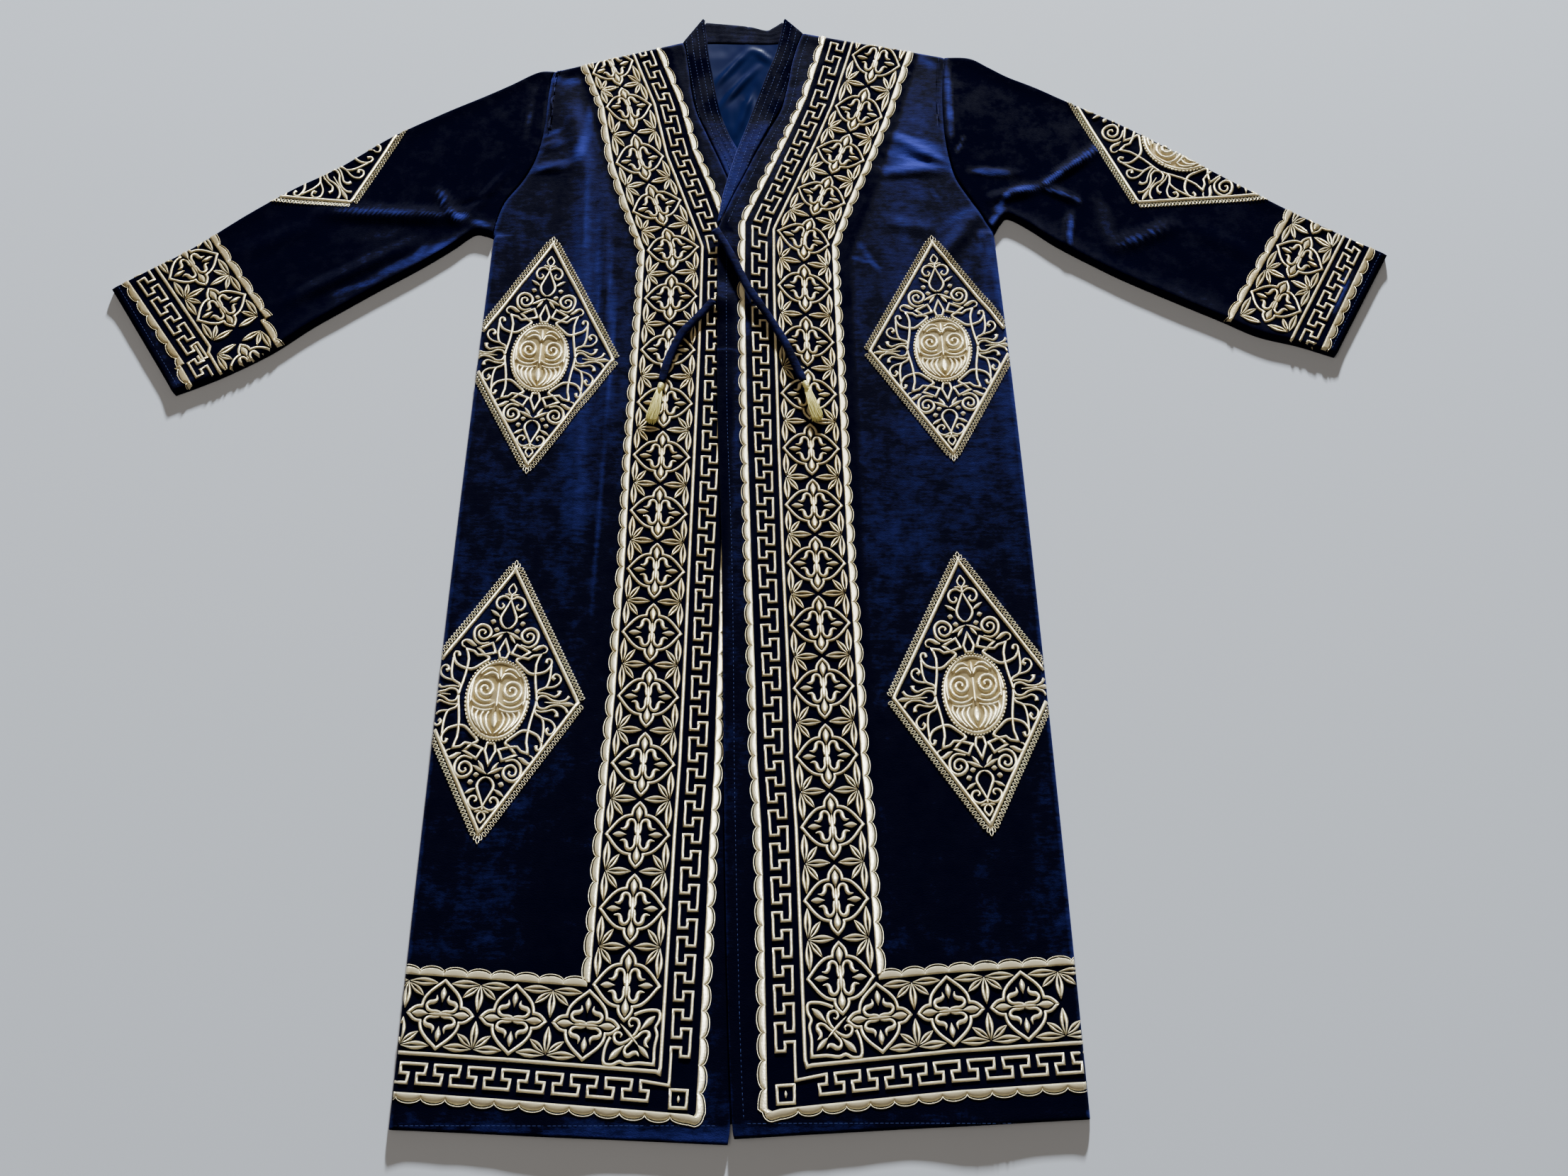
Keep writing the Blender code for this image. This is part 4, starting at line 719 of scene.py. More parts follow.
def sleeve(where, armhole, sections, creases, sheens, seed):
    """A sleeve as rings: from the upper fold over the top to the lower fold and back underneath."""
    outward = -1 if where == "left" else 1
    arm_line = smooth(armhole)
    arm_length = length_of(arm_line)
    top_stops = [d / arm_length for d in stops(arm_length, SPACING, FOLD_STOPS, FOLD_STOPS)]
    seam = along(arm_line, top_stops)
    upper = smooth([tuple(seam[0])] + [(s.top_x, s.top_y) for s in sections], 9)
    under = smooth([tuple(seam[-1])] + [(s.under_x, s.under_y) for s in sections], 9)
    points, values = [], []
    for j, (top, low) in enumerate(zip(upper, under)):
        span, fade = (low - top).length, max(0.0, 1 - j / 27)
        to_cuff = (upper[-1] - top).length
        places = []
        for k, share in enumerate(top_stops):
            p = top.lerp(low, share) + (seam[k] - seam[0].lerp(seam[-1], share)) * fade
            p.x += outward * 0.0004
            places.append(p)
            away = min(share, 1 - share) * span
            rise = turned(min(share, 1 - share) * arm_length)
            z = SLEEVE_TOP + PUFF * math.exp(-(away / PUFF_REACH) ** 2) + creased(creases, p.x, p.y)
            z += handled(p.x, p.y, seed) - rolled(to_cuff)
            z -= seam_dip(j * 0.0045)
            points.append((p.x, p.y, z * rise))
        points.extend((p.x, p.y, 0.0) for p in places[-3:1:-1])
    width = len(points) // len(upper)
    tops = [p for j in range(len(upper)) for p in points[j * width:j * width + len(top_stops)]]

    # Painted sheen on a sleeve: random streaks and the brushed, listed sheen streaks.
    def base(x, y):
        streak = noise.noise(Vector((x * 9, y * 12, seed)))
        return 0.11 * streak + 1.35 * brushed(creased(sheens, x, y), x, y)

    top_values = shades(tops, len(upper), len(top_stops), base)
    for j in range(len(upper)):
        values += top_values[j * len(top_stops):(j + 1) * len(top_stops)]
        values += [0.2] * (width - len(top_stops))
    shape_faces = grid_faces(len(upper), width, ring=True, leftward=outward < 0)
    made = piece("velvet_sleeve_" + where, points, shape_faces, velvet, ("sleeve_" + where,),
                 values=values, closed=False)
    return thick(made, CLOTH), ground_of(tops, grid_faces(len(upper), len(top_stops)))


cloth_sleeve_left, top_sleeve_left = sleeve("left", ARMHOLE_LEFT, SLEEVE_LEFT, CREASES_SLEEVE_LEFT,
                                            SHEEN_SLEEVE_LEFT, 5.0)
cloth_sleeve_right, top_sleeve_right = sleeve("right", ARMHOLE_RIGHT, SLEEVE_RIGHT, CREASES_SLEEVE_RIGHT,
                                              SHEEN_SLEEVE_RIGHT, 6.0)

# ---------------------------------------------------------------- back, neck band and satin
# The back is a single flat panel. The stiff band round the neck is folded velvet, quilted with
# rows of stitching along its free edge; behind the opening shows the wrinkled satin lining.
BAND, BAND_TOP, SEAM = 0.003, 0.007, 0.0003
NECK_TOP = [(-0.048, 1.1995), (0.0, 1.194), (0.022, 1.188), (0.03, 1.1915), (0.041, 1.2)]
NECK_LINE = [(-0.0675, 1.1665), (-0.04, 1.168), (0.0, 1.167), (0.035, 1.1675), (0.0595, 1.176)]
CREASES_SATIN = [Crease(*row) for row in (
    (0.005, 1.16, -0.04, 1.1, 0.007, 0.002), (0.015, 1.135, -0.03, 1.075, 0.007, 0.0022),
    (0.008, 1.1, -0.011, 1.035, 0.006, 0.0016), (0.008, 1.16, 0.03, 1.138, 0.008, 0.0012),
)]


def neck_band(where, sections, top):
    """One front of the band: rounded quilted channels between its rows of stitches."""
    seam_line, free_line = smooth([s[:2] for s in sections]), smooth([s[2:] for s in sections])
    long = length_of(free_line)
    down = stops(long, 0.0035, FOLD_STOPS, [0.0])
    shares = [d / long for d in down]
    points, columns = [], even(28)
    for free, seam, d in zip(along(free_line, shares), along(seam_line, shares), down):
        width = (seam - free).length
        seam = seam + (free - seam).normalized() * (SEAM + 0.0001)
        channels = max(1.0, width / 0.0068)
        for c in columns:
            p = free.lerp(seam, c)
            quilt = 0.0003 * abs(math.sin(math.pi * c * channels)) ** 0.6
            z = top(p.y) - 0.0004 + quilt + handled(p.x, p.y, 9.0)
            z -= rolled(c * width) + rolled((1 - c) * width)
            points.append((p.x, p.y, z * turned(d)))
    # Painted sheen: stronger towards the band's lower end, with random patches.
    values = [0.04 + 0.26 * min(1.0, max(0.0, (1.075 - y) / 0.06))
              + 0.16 * noise.noise(Vector((x * 24, y * 24, 1.0))) for x, y, _ in points]
    made = panel("neck_band_" + where, points, len(columns), BAND - 0.0004, values, where == "right")
    return made, ground_of(points, grid_faces(len(down), len(columns)))


def right_band_top(y):
    """The right band lies on the left one at the crossing and comes down beside the neck."""
    return BAND_TOP + (BAND + 2 * SEAM) * min(max((1.095 - y) / 0.055, 0.0), 1.0)


band_left, top_band_left = neck_band("left", BAND_LEFT, lambda y: BAND_TOP)
band_right, top_band_right = neck_band("right", BAND_RIGHT, right_band_top)

low_line, high_line = along(smooth(NECK_LINE), even(44)), along(smooth(NECK_TOP), even(44))
points = []
for j in range(15):
    for low, high in zip(low_line, high_line):
        p = low.lerp(high, j / 14)
        seam = math.exp(-((p.x - 0.001) / 0.0012) ** 2)
        z = BAND - 0.0003 + 0.0004 * abs(math.sin(math.pi * j / 14 * 4)) ** 0.6 - 0.0007 * seam
        points.append((p.x, p.y, z - 0.6 * rolled((14 - j) * 0.002)))
band_back = panel("neck_band_back", points, 45, BAND - 0.0008, [0.12] * len(points))

# The back panel's outline is inside the folds of the fronts and the sleeves.
BACK_INSET, BACK_TOP = Vector((0.0036, 0.0)), 1.155
sides = [along(smooth(line), even(60)) for line in (SIDE_LEFT, SIDE_RIGHT)]
armholes = [along(smooth(line), even(20))[::-1] for line in (ARMHOLE_LEFT, ARMHOLE_RIGHT)]
rows = [(a + BACK_INSET, b - BACK_INSET) for a, b in zip(*sides)] + list(zip(*armholes))[1:-1]
points = []
for a, b in rows:
    for s in even(40):
        p = a.lerp(b, s)
        uneven = 0.00012 * noise.noise(Vector((p.x * 20, p.y * 20, 4.0)))
        points.append((p.x, min(p.y, BACK_TOP), CLOTH + uneven))
back = panel("back_panel", points, 41, CLOTH - 0.0002, [0.15] * len(points))

# Smooth dark blue satin with a fine diagonal weave and soft blue lights.
satin, tree, shader = plain("satin", (0.003, 0.007, 0.046), 0.2, Specular_IOR_Level=0.17,
                            Specular_Tint=(0.42, 0.58, 1.0, 1.0), Anisotropic=0.4)
place = add(tree, "TexCoord", {}, "Object")
weave = add(tree, "TexWave", {"Scale": 600.0, "Vector": place}, "Fac", bands_direction="DIAGONAL")
relief(tree, shader, weave, 0.03, 0.0001)
points = []
SATIN_LOW, SATIN_LONG = 0.995, 0.1765
for y in [SATIN_LOW + SATIN_LONG * s for s in even(72)]:
    t = min(1.0, (y - SATIN_LOW) / (SATIN_LONG - 0.006))
    left, right = -0.016 - 0.036 * min(1.0, t * 1.35), -0.004 + 0.054 * min(1.0, t * 1.15)
    for s in even(40):
        x = left + (right - left) * s
        calm = min(1.0, 5 * s * (1 - s)) * min(1.0, max(0.0, (1.166 - y) / 0.01))
        wrinkle = creased(CREASES_SATIN, x, y) + 0.0009 * noise.noise(Vector((x * 75, y * 40, 3.0)))
        points.append((x, y, 0.0033 + wrinkle * calm - 0.001 * min(1.0, max(0.0, (y - 1.145) / 0.0265))))
lining = panel("neck_lining", points, 41, 0.0006, None, finish=satin, slot="satin")

# ---------------------------------------------------------------- borders of the fronts
# Satin stitch in pale gold metal thread over a padding: along each edge a scalloped rim, a key
# fret, a plain line, then flowers in ogee frames between sprays of five leaves, and a second
# scalloped rim.

# Each table has a row for every flower: the outer and the inner tip of its frame. Across a
# border, places are in centimetres from the flowers' middle, outwards positive.
Tips = namedtuple("Tips", "outer_x outer_y inner_x inner_y")
FLOWERS_LEFT = [Tips(*row) for row in (
    (-0.1238, 0.1255, -0.0648, 0.124), (-0.1216, 0.1898, -0.0627, 0.1891),
    (-0.1193, 0.2553, -0.0609, 0.2538), (-0.1171, 0.3202, -0.0582, 0.3182),
    (-0.1142, 0.3842, -0.0567, 0.3824), (-0.1131, 0.4476, -0.0556, 0.4453),
    (-0.111, 0.5124, -0.0546, 0.5087), (-0.1107, 0.5744, -0.0536, 0.5702),
    (-0.1103, 0.6356, -0.0526, 0.6326), (-0.1088, 0.6957, -0.0515, 0.6937),
    (-0.1075, 0.7576, -0.0505, 0.7572), (-0.1062, 0.82, -0.05, 0.8228), (-0.1055, 0.8804, -0.0498, 0.885),
    (-0.1236, 0.9304, -0.071, 0.9463), (-0.1452, 0.9956, -0.0922, 1.0051),
    (-0.1598, 1.0727, -0.1086, 1.0762), (-0.1779, 1.1202, -0.1322, 1.139),
)]
FLOWERS_RIGHT = [Tips(*row) for row in (
    (0.1227, 0.1323, 0.0637, 0.1297), (0.1191, 0.1982, 0.0613, 0.196), (0.1167, 0.2642, 0.0589, 0.2609),
    (0.1122, 0.328, 0.0544, 0.3253), (0.11, 0.3936, 0.0524, 0.3909), (0.1074, 0.4564, 0.0498, 0.4531),
    (0.104, 0.5176, 0.0469, 0.5176), (0.102, 0.5793, 0.0448, 0.5793), (0.0998, 0.6421, 0.0424, 0.6421),
    (0.098, 0.7046, 0.0406, 0.7046), (0.0962, 0.7662, 0.0388, 0.7674), (0.0942, 0.8313, 0.037, 0.8345),
    (0.0929, 0.8876, 0.0365, 0.9038), (0.1109, 0.9413, 0.059, 0.9614), (0.1334, 0.9987, 0.0806, 1.016),
    (0.1554, 1.0582, 0.1023, 1.0744), (0.1778, 1.1311, 0.123, 1.1477),
)]
HEM_FLOWERS_LEFT = [Tips(*row) for row in (
    (-0.1263, 0.1207, -0.1298, 0.064), (-0.1902, 0.1253, -0.1938, 0.0687),
    (-0.2532, 0.1293, -0.2568, 0.0727),
)]
HEM_FLOWERS_RIGHT = [Tips(*row) for row in (
    (0.1242, 0.1267, 0.1285, 0.07), (0.186, 0.1323, 0.19, 0.0757), (0.2512, 0.1363, 0.2548, 0.0797),
)]
REPEAT = 6.35          # centimetres from one flower to the next in the pattern's own measure
FRAME = 5.74           # from tip to tip
GOLD_LINE, FRET_NEAR, FRET_FAR, RIM_IN, RIM_OUT = -3.3, -4.12, -5.66, -6.42, 3.12
FRET_PERIOD = 0.4625   # of a repeat
NOTCH_UP, NOTCH_OUT = 1.295, 1.236     # the first notches of the rim on either side of the corner
FOOT_UP, FOOT_OUT = -1.58, -1.53       # where the rim turns round the corner
NOTCH, DEPTH = 0.0024, 0.0047          # a scallop's height over the foot at its ends, and above that
FRAME_HALF, LINE_HALF, FRET_HALF = 0.00145, 0.0017, 0.0014
RISE = 0.00115
# The gold's second colour is a shaded copy of the first, for painted shade.
gold = thread_finish("gold_thread", (1.0, 0.9, 0.6), (0.56, 0.43, 0.19), 0.56, 0.28, 0.6, 0.0007)
# Each point keeps a painted light, above 0, or a painted shade, below 0.
Work = namedtuple("Work", "points faces uvs tones ground")
PROFILE = ((0.0, -0.05), (0.14, 0.66), (0.5, 1.0), (0.86, 0.66), (1.0, -0.05))
PLUMP = ((0.0, -0.05), (0.25, 0.9), (0.75, 0.9), (1.0, -0.05))
SLOPED = ((0.0, -0.05), (0.12, 0.8), (0.3, 1.0), (0.62, 0.72), (0.86, 0.4), (1.0, -0.05))


def sew(work, left, right, rise=RISE, profile=PROFILE, painted_shading=0.0):
    """A padded strip of satin stitch between two lines, crowned between its edges. It ends where
    the cloth does."""
    sections, run = [], 0.0
    for i, (a, b) in enumerate(zip(left, right)):
        run += (a.lerp(b, 0.5) - left[i - 1].lerp(right[i - 1], 0.5)).length if i else 0.0
        wide = (b - a).length
        crown = rise * min(1.0, 0.25 + wide / 0.002)
        row = []
        for s, h in profile:
            p = a.lerp(b, s)
            z = work.ground(p.x, p.y)
            if z is None:
                row = None
                break
            row.append((p.x, p.y, z + crown * h, run, (s - 0.5) * wide))
        if row:
            sections.append(row)
        if (not row or i == len(left) - 1) and sections:
            if len(sections) > 1:
                first, count = len(work.points), len(profile)
                for made in sections:
                    work.points.extend(q[:3] for q in made)
                    work.uvs.extend(q[3:] for q in made)
                    # Each point of the strip gets the strip's painted light and shade.
                    work.tones.extend([painted_shading] * count)
                work.faces.extend(grid_faces(len(sections), count, first=first))
                end = first + (len(sections) - 1) * count
                for j in range(first, end, count):
                    work.faces.append((j, j + count - 1, j + 2 * count - 1, j + count))
                work.faces.extend([tuple(range(first, first + count)), tuple(range(end, end + count))])
            sections = []


def stroke(work, line, half, rise=RISE, closed=False, profile=PROFILE):
    """A strip along a line of the plan. half is its half width, or a list with one for each point."""
    line = [Vector(p[:2]) for p in line]
    if closed:
        line = line + [line[0], line[1]]
    halves = half if isinstance(half, list) else [half] * len(line)
    left, right = [], []
    for i, p in enumerate(line):
        into = (p - line[i - 1]).normalized() if i else (line[1] - p).normalized()
        out = (line[i + 1] - p).normalized() if i < len(line) - 1 else into
        if closed and i == 0:
            into = (p - line[-3]).normalized()
        ahead = (into + out).normalized() if (into + out).length > 0.05 else out
        side = Vector((-ahead.y, ahead.x)) * (halves[min(i, len(halves) - 1)] / max(0.5, ahead.dot(out)))
        left.append(p + side)
        right.append(p - side)
    if closed:
        left, right = left[:-1], right[:-1]
    sew(work, left, right, rise, profile)


def leaf(work, base, tip, half, rise=RISE, split=0.0, belly=1.0):
    """A pointed leaf, with a slit for its rib over the share split of its length."""
    run = tip - base
    side = Vector((-run.y, run.x)).normalized()
    steps = 8
    mids, halves, gaps = [], [], []
    for k in range(steps + 1):
        t = k / steps
        mids.append(base + run * t)
        halves.append(max(half * math.sin(math.pi * min(max(t, 0.02), 0.985) ** belly) ** 0.95, 0.00012))
        gaps.append(0.00055 * min(1.0, 3 * t, max(0.0, (split - t) / 0.1)))
    if not split:
        sew(work, [m + side * h for m, h in zip(mids, halves)], [m - side * h for m, h in zip(mids, halves)],
            rise, PLUMP)
        return
    for sign in (1, -1):
        edge = [m + side * sign * max(h, g + 0.0001) for m, h, g in zip(mids, halves, gaps)]
        slit = [m + side * sign * g for m, g in zip(mids, gaps)]
        # Split leaves are painted a little darker, as painted shade.
        sew(work, edge if sign > 0 else slit, slit if sign > 0 else edge, rise, PLUMP, -0.1)


def between_tips(rows):
    """Turns a flower's number, and centimetres along and across from it, into a place."""
    def spot(number, u, v):
        q = number + u / REPEAT
        i = min(max(math.floor(q), 0), len(rows) - 2)
        a, b, t = rows[i], rows[i + 1], q - i
        outer = Vector((a.outer_x, a.outer_y)).lerp(Vector((b.outer_x, b.outer_y)), t)
        inner = Vector((a.inner_x, a.inner_y)).lerp(Vector((b.inner_x, b.inner_y)), t)
        return (outer + inner) / 2 + (outer - inner) * (v / FRAME)
    return spot


BUD = [(2.82, 0.0), (2.62, 0.22), (2.32, 0.47), (2.0, 0.59), (1.72, 0.61)]
SHOULDER = [(1.72, 0.61), (1.67, 0.95), (1.52, 1.36), (1.16, 1.82), (0.74, 2.2), (0.34, 2.52), (0.0, 2.8)]
SCROLL = [(0.1, 0.16), (0.46, 0.24), (0.88, 0.24), (1.2, 0.4), (1.3, 0.68), (1.1, 0.92), (0.74, 1.0),
          (0.5, 1.2), (0.54, 1.58)]
SCROLL_HALF = [0.12, 0.13, 0.13, 0.14, 0.16, 0.2, 0.2, 0.15, 0.02]


def flower(work, spot):
    """An ogee frame with four petals and four scrolls. spot turns (u, v) into a place."""
    quarter = smooth(BUD, 2)[:-1] + smooth(SHOULDER, 2)[:-1]
    turns = []
    for along_sign, across_sign in ((1, 1), (-1, 1), (-1, -1), (1, -1)):
        part = [(u * along_sign, v * across_sign) for u, v in quarter]
        if along_sign * across_sign < 0:
            part = [(0.0, SHOULDER[-1][1] * across_sign)] + part[:0:-1]
        turns.append(part)
    stroke(work, [spot(u, v) for part in turns for u, v in part], FRAME_HALF, closed=True)
    for sign in (1, -1):
        leaf(work, spot(sign * 1.05, 0.0), spot(sign * 2.5, 0.0), 0.0035, 1.3 * RISE, belly=1.25)
        leaf(work, spot(0.0, sign * 0.98), spot(0.0, sign * 2.24), 0.0028, 1.3 * RISE, belly=1.2)
        for across_sign in (1, -1):
            scroll(work, spot, SCROLL, SCROLL_HALF, sign, across_sign)
    leaf(work, spot(-1.1, 0.0), spot(1.1, 0.0), 0.0024)


def scroll(work, spot, points, halves, along_sign=1, across_sign=1):
    """A curling strip that swells and thins, turned into one of the four quarters."""
    curl = smooth([(u * along_sign, v * across_sign) for u, v in points], 3)
    swell = [h[0] * 0.01 for h in smooth([(h, 0.0) for h in halves], 3)]
    stroke(work, [spot(u, v) for u, v in curl], swell)


Slant = namedtuple("Slant", "x y along_x along_y across_x across_y")
CORNER_FRAME = [(1.35, 1.3), (1.84, 1.12), (2.5, 0.74), (3.1, 0.08), (2.66, -0.5), (2.02, -0.74),
                (1.72, -1.3), (0.88, -1.94), (0.0, -2.9)]
CORNER_CURL = [(0.1, 0.05), (0.6, 0.12), (1.1, 0.36), (1.26, 0.8), (0.98, 1.2), (0.58, 1.12), (0.5, 0.8),
               (0.74, 0.7)]


def corner_flower(work, corner):
    """The slanting flower that fills the border's corner, open towards the two beside it."""
    middle, ahead, out = Vector(corner[:2]), Vector(corner[2:4]) * 0.01, Vector(corner[4:]) * 0.01

    def spot(u, v):
        return middle + ahead * u + out * v

    half_frame = smooth(CORNER_FRAME, 3)
    stroke(work, [spot(u, v) for u, v in half_frame] + [spot(-u, v) for u, v in half_frame[-2::-1]],
           FRAME_HALF)
    for sign in (1, -1):
        leaf(work, spot(sign * 0.8, 0.0), spot(sign * 2.62, 0.0), 0.003, 1.3 * RISE, belly=1.4)
        scroll(work, spot, SCROLL, SCROLL_HALF, sign, -1)
        scroll(work, spot, CORNER_CURL, [0.1, 0.13, 0.15, 0.15, 0.13, 0.11, 0.09, 0.05], sign)
    leaf(work, spot(0.0, -0.8), spot(0.0, -2.25), 0.0025, 1.3 * RISE)
    leaf(work, spot(0.0, -0.9), spot(0.0, 1.55), 0.0015)


def spray(work, spot, ways=(1, -1)):
    """A spray of five leaves at each edge of the flowers' zone, half way between two flowers."""
    for s in (1, -1):
        for way in ways:
            leaf(work, spot(way * 0.1, s * 2.66), spot(way * 2.56, s * 2.6), 0.0037, split=0.56, belly=1.1)
            leaf(work, spot(way * 0.12, s * 2.5), spot(way * 1.46, s * 1.48), 0.003, split=0.56, belly=1.1)
        leaf(work, spot(0.0, s * 2.62), spot(0.0, s * 0.36), 0.0037, split=0.56, belly=1.1)


def scallops(first, last):
    """Flower numbers for a rim with three scallops to a flower, closest together at the notches."""
    shares = (0.0, 0.012, 0.045, 0.12, 0.24, 0.38, 0.5, 0.62, 0.76, 0.88, 0.955, 0.988)
    return [q for k in range(60) for q in (first + (k + s) / 3 for s in shares) if first + 1e-6 < q <= last]


def rim(work, base, outwards, phases):
    """Half-round scallops of satin stitch on a straight foot, with a thin cord along their edge."""
    fill, cord = [], []
    for p, out, phase in zip(base, outwards, phases):
        t = phase - math.floor(phase)
        arc = math.sqrt(max(0.0, 1 - (2 * t - 1) ** 2))
        fill.append(p + out * (NOTCH + DEPTH * arc))
        cord.append(p + out * (NOTCH + 0.0009 + (DEPTH + 0.0003) * arc))
    # The scallops are painted lighter, as a painted highlight.
    sew(work, base, fill, RISE, SLOPED, 0.16)
    stroke(work, cord, 0.00045, 0.7 * RISE)


def fret(spot, start, end):
    """The key fret's line between two flower numbers: bars near and far by turns."""
    middle = (FRET_NEAR + FRET_FAR) / 2
    line, at, near = [], start, True
    while at < end:
        v = FRET_NEAR if near else FRET_FAR
        line += [(at, v), (at + 0.73 * FRET_PERIOD, v), (at + 0.73 * FRET_PERIOD, middle),
                 (at + 0.5 * FRET_PERIOD, middle)]
        at, near = at + 0.5 * FRET_PERIOD, not near
    return [spot(q, 0.0, v) for q, v in line]


def with_steps(line, step=0.006):
    """The line with more points, so that it can follow the cloth."""
    fine = []
    for a, b in zip(line, line[1:]):
        count = max(1, math.ceil((b - a).length / step))
        fine += [a.lerp(b, k / count) for k in range(count)]
    return fine + [line[-1]]


def rim_foot(spot, foot, notch, end):
    """The open side's rim from beside the corner: its foot, the ways outwards and the phases."""
    first = foot + 0.05
    qs = [first + (-notch - first) * s for s in even(10)] + scallops(-notch, end)
    base = [spot(q, 0.0, RIM_IN) for q in qs]
    outs = [(p - spot(q, 0.0, RIM_IN + 1.0)).normalized() for p, q in zip(base, qs)]
    return base, outs, [(q + notch) * (3 if q > -notch else 0.5 / (-first - notch)) for q in qs]


def gold_piece(name, work, node, shade=None):
    """The finished gold work of one piece."""
    return piece(name, work.points, work.faces, gold, (node,), work.uvs, shade)


def border(where, front_rows, hem_rows, corner, ground, hem_end):
    """The whole border of one front, from the shoulder down the edge and along the hem."""
    work = Work([], [], [], [], ground)
    up, out = between_tips(front_rows), between_tips(hem_rows)
    top = len(front_rows) + 0.2
    # Flowers and sprays on the front and on the hem, and a slanting flower in the corner.
    for spot, count in ((up, len(front_rows)), (out, len(hem_rows))):
        for n in range(count):
            flower(work, lambda u, v: spot(n, u, v))
            spray(work, lambda u, v: spot(n + 0.5, u, v))
    corner_flower(work, corner)
    # The plain gold line turns at the corner, inside the fret.
    crossing_up, crossing_out = -1.1 if front_rows[0].outer_x < 0 else -1.08, -1.04
    fine_up = [crossing_up + (top - crossing_up) * s for s in even(380)][2:]
    fine_out = [crossing_out + (hem_end - crossing_out) * s for s in even(90)][1:]
    turn = up(crossing_up, 0.0, GOLD_LINE).lerp(out(crossing_out, 0.0, GOLD_LINE), 0.5)
    line = [up(q, 0.0, GOLD_LINE) for q in reversed(fine_up)] + [turn]
    stroke(work, line + [out(q, 0.0, GOLD_LINE) for q in fine_out], LINE_HALF)
    # The fret, joined round the corner, and the little square with its seed.
    low_up, low_out = -1.22, -1.15
    down = fret(up, low_up + 0.27 * FRET_PERIOD, top)[::-1]
    away = fret(out, low_out, hem_end)
    joint = up(low_up, 0.0, FRET_NEAR)
    stroke(work, with_steps(down + [joint] + away[1:]), FRET_HALF)
    square = up(-1.375, 0.0, -4.95)
    one, two = up(-1.27, 0.0, -4.95) - square, up(-1.375, 0.0, -4.26) - square
    corners = [square + one + two, square + one - two, square - one - two, square - one + two]
    stroke(work, with_steps(corners + [corners[0]])[:-1], FRET_HALF, closed=True)
    leaf(work, square - one * 0.42, square + one * 0.42, 0.0014)
    # Rims: the one on the open side goes round the corner, the other one bends in.
    base_up, outs_up, phases_up = rim_foot(up, FOOT_UP, NOTCH_UP, top)
    base_out, outs_out, phases_out = rim_foot(out, FOOT_OUT, NOTCH_OUT, hem_end)
    pivot = up(FOOT_UP, 0.0, RIM_IN).lerp(out(FOOT_OUT, 0.0, RIM_IN), 0.5)
    turn_to = (out(FOOT_OUT, 0.0, RIM_IN) - out(FOOT_OUT, 0.0, RIM_IN + 1.0)).normalized()
    turn = [outs_up[0].lerp(turn_to, k / 12).normalized() for k in range(1, 12)]
    rim(work, base_up[::-1] + [pivot] * 11 + base_out, outs_up[::-1] + turn + outs_out,
        phases_up[::-1] + [-0.5] * 11 + phases_out)
    for spot, first, last in ((up, 0.02, top), (out, 0.04, hem_end)):
        qs = scallops(first, last)
        base = [spot(q, 0.0, RIM_OUT) for q in qs]
        rim(work, base, [(p - spot(q, 0.0, RIM_OUT - 1.0)).normalized() for p, q in zip(base, qs)],
            [(q - first) * 3 for q in qs])
    # Painted light: the gold is painted lighter towards the hem.
    shade = [painted_shading + 0.36 * max(0.0, 1 - p[1] / 0.5) for p, painted_shading in zip(work.points, work.tones)]
    return gold_piece("gold_border_" + where, work, "border_" + where, shade)


gold_left = border("left", FLOWERS_LEFT, HEM_FLOWERS_LEFT,
                   Slant(-0.0878, 0.082, 0.743, 0.67, -0.674, 0.739), top_left, 2.75)
gold_right = border("right", FLOWERS_RIGHT, HEM_FLOWERS_RIGHT,
                    Slant(0.087, 0.088, -0.731, 0.682, 0.683, 0.73), top_right, 2.95)

# ---------------------------------------------------------------- medallions
# Upright lozenges of the same gold work: a padded rail with a row of small loops outside it, an
# oval of volutes in the middle, straps round the oval, and scrolls and leaves towards the points.

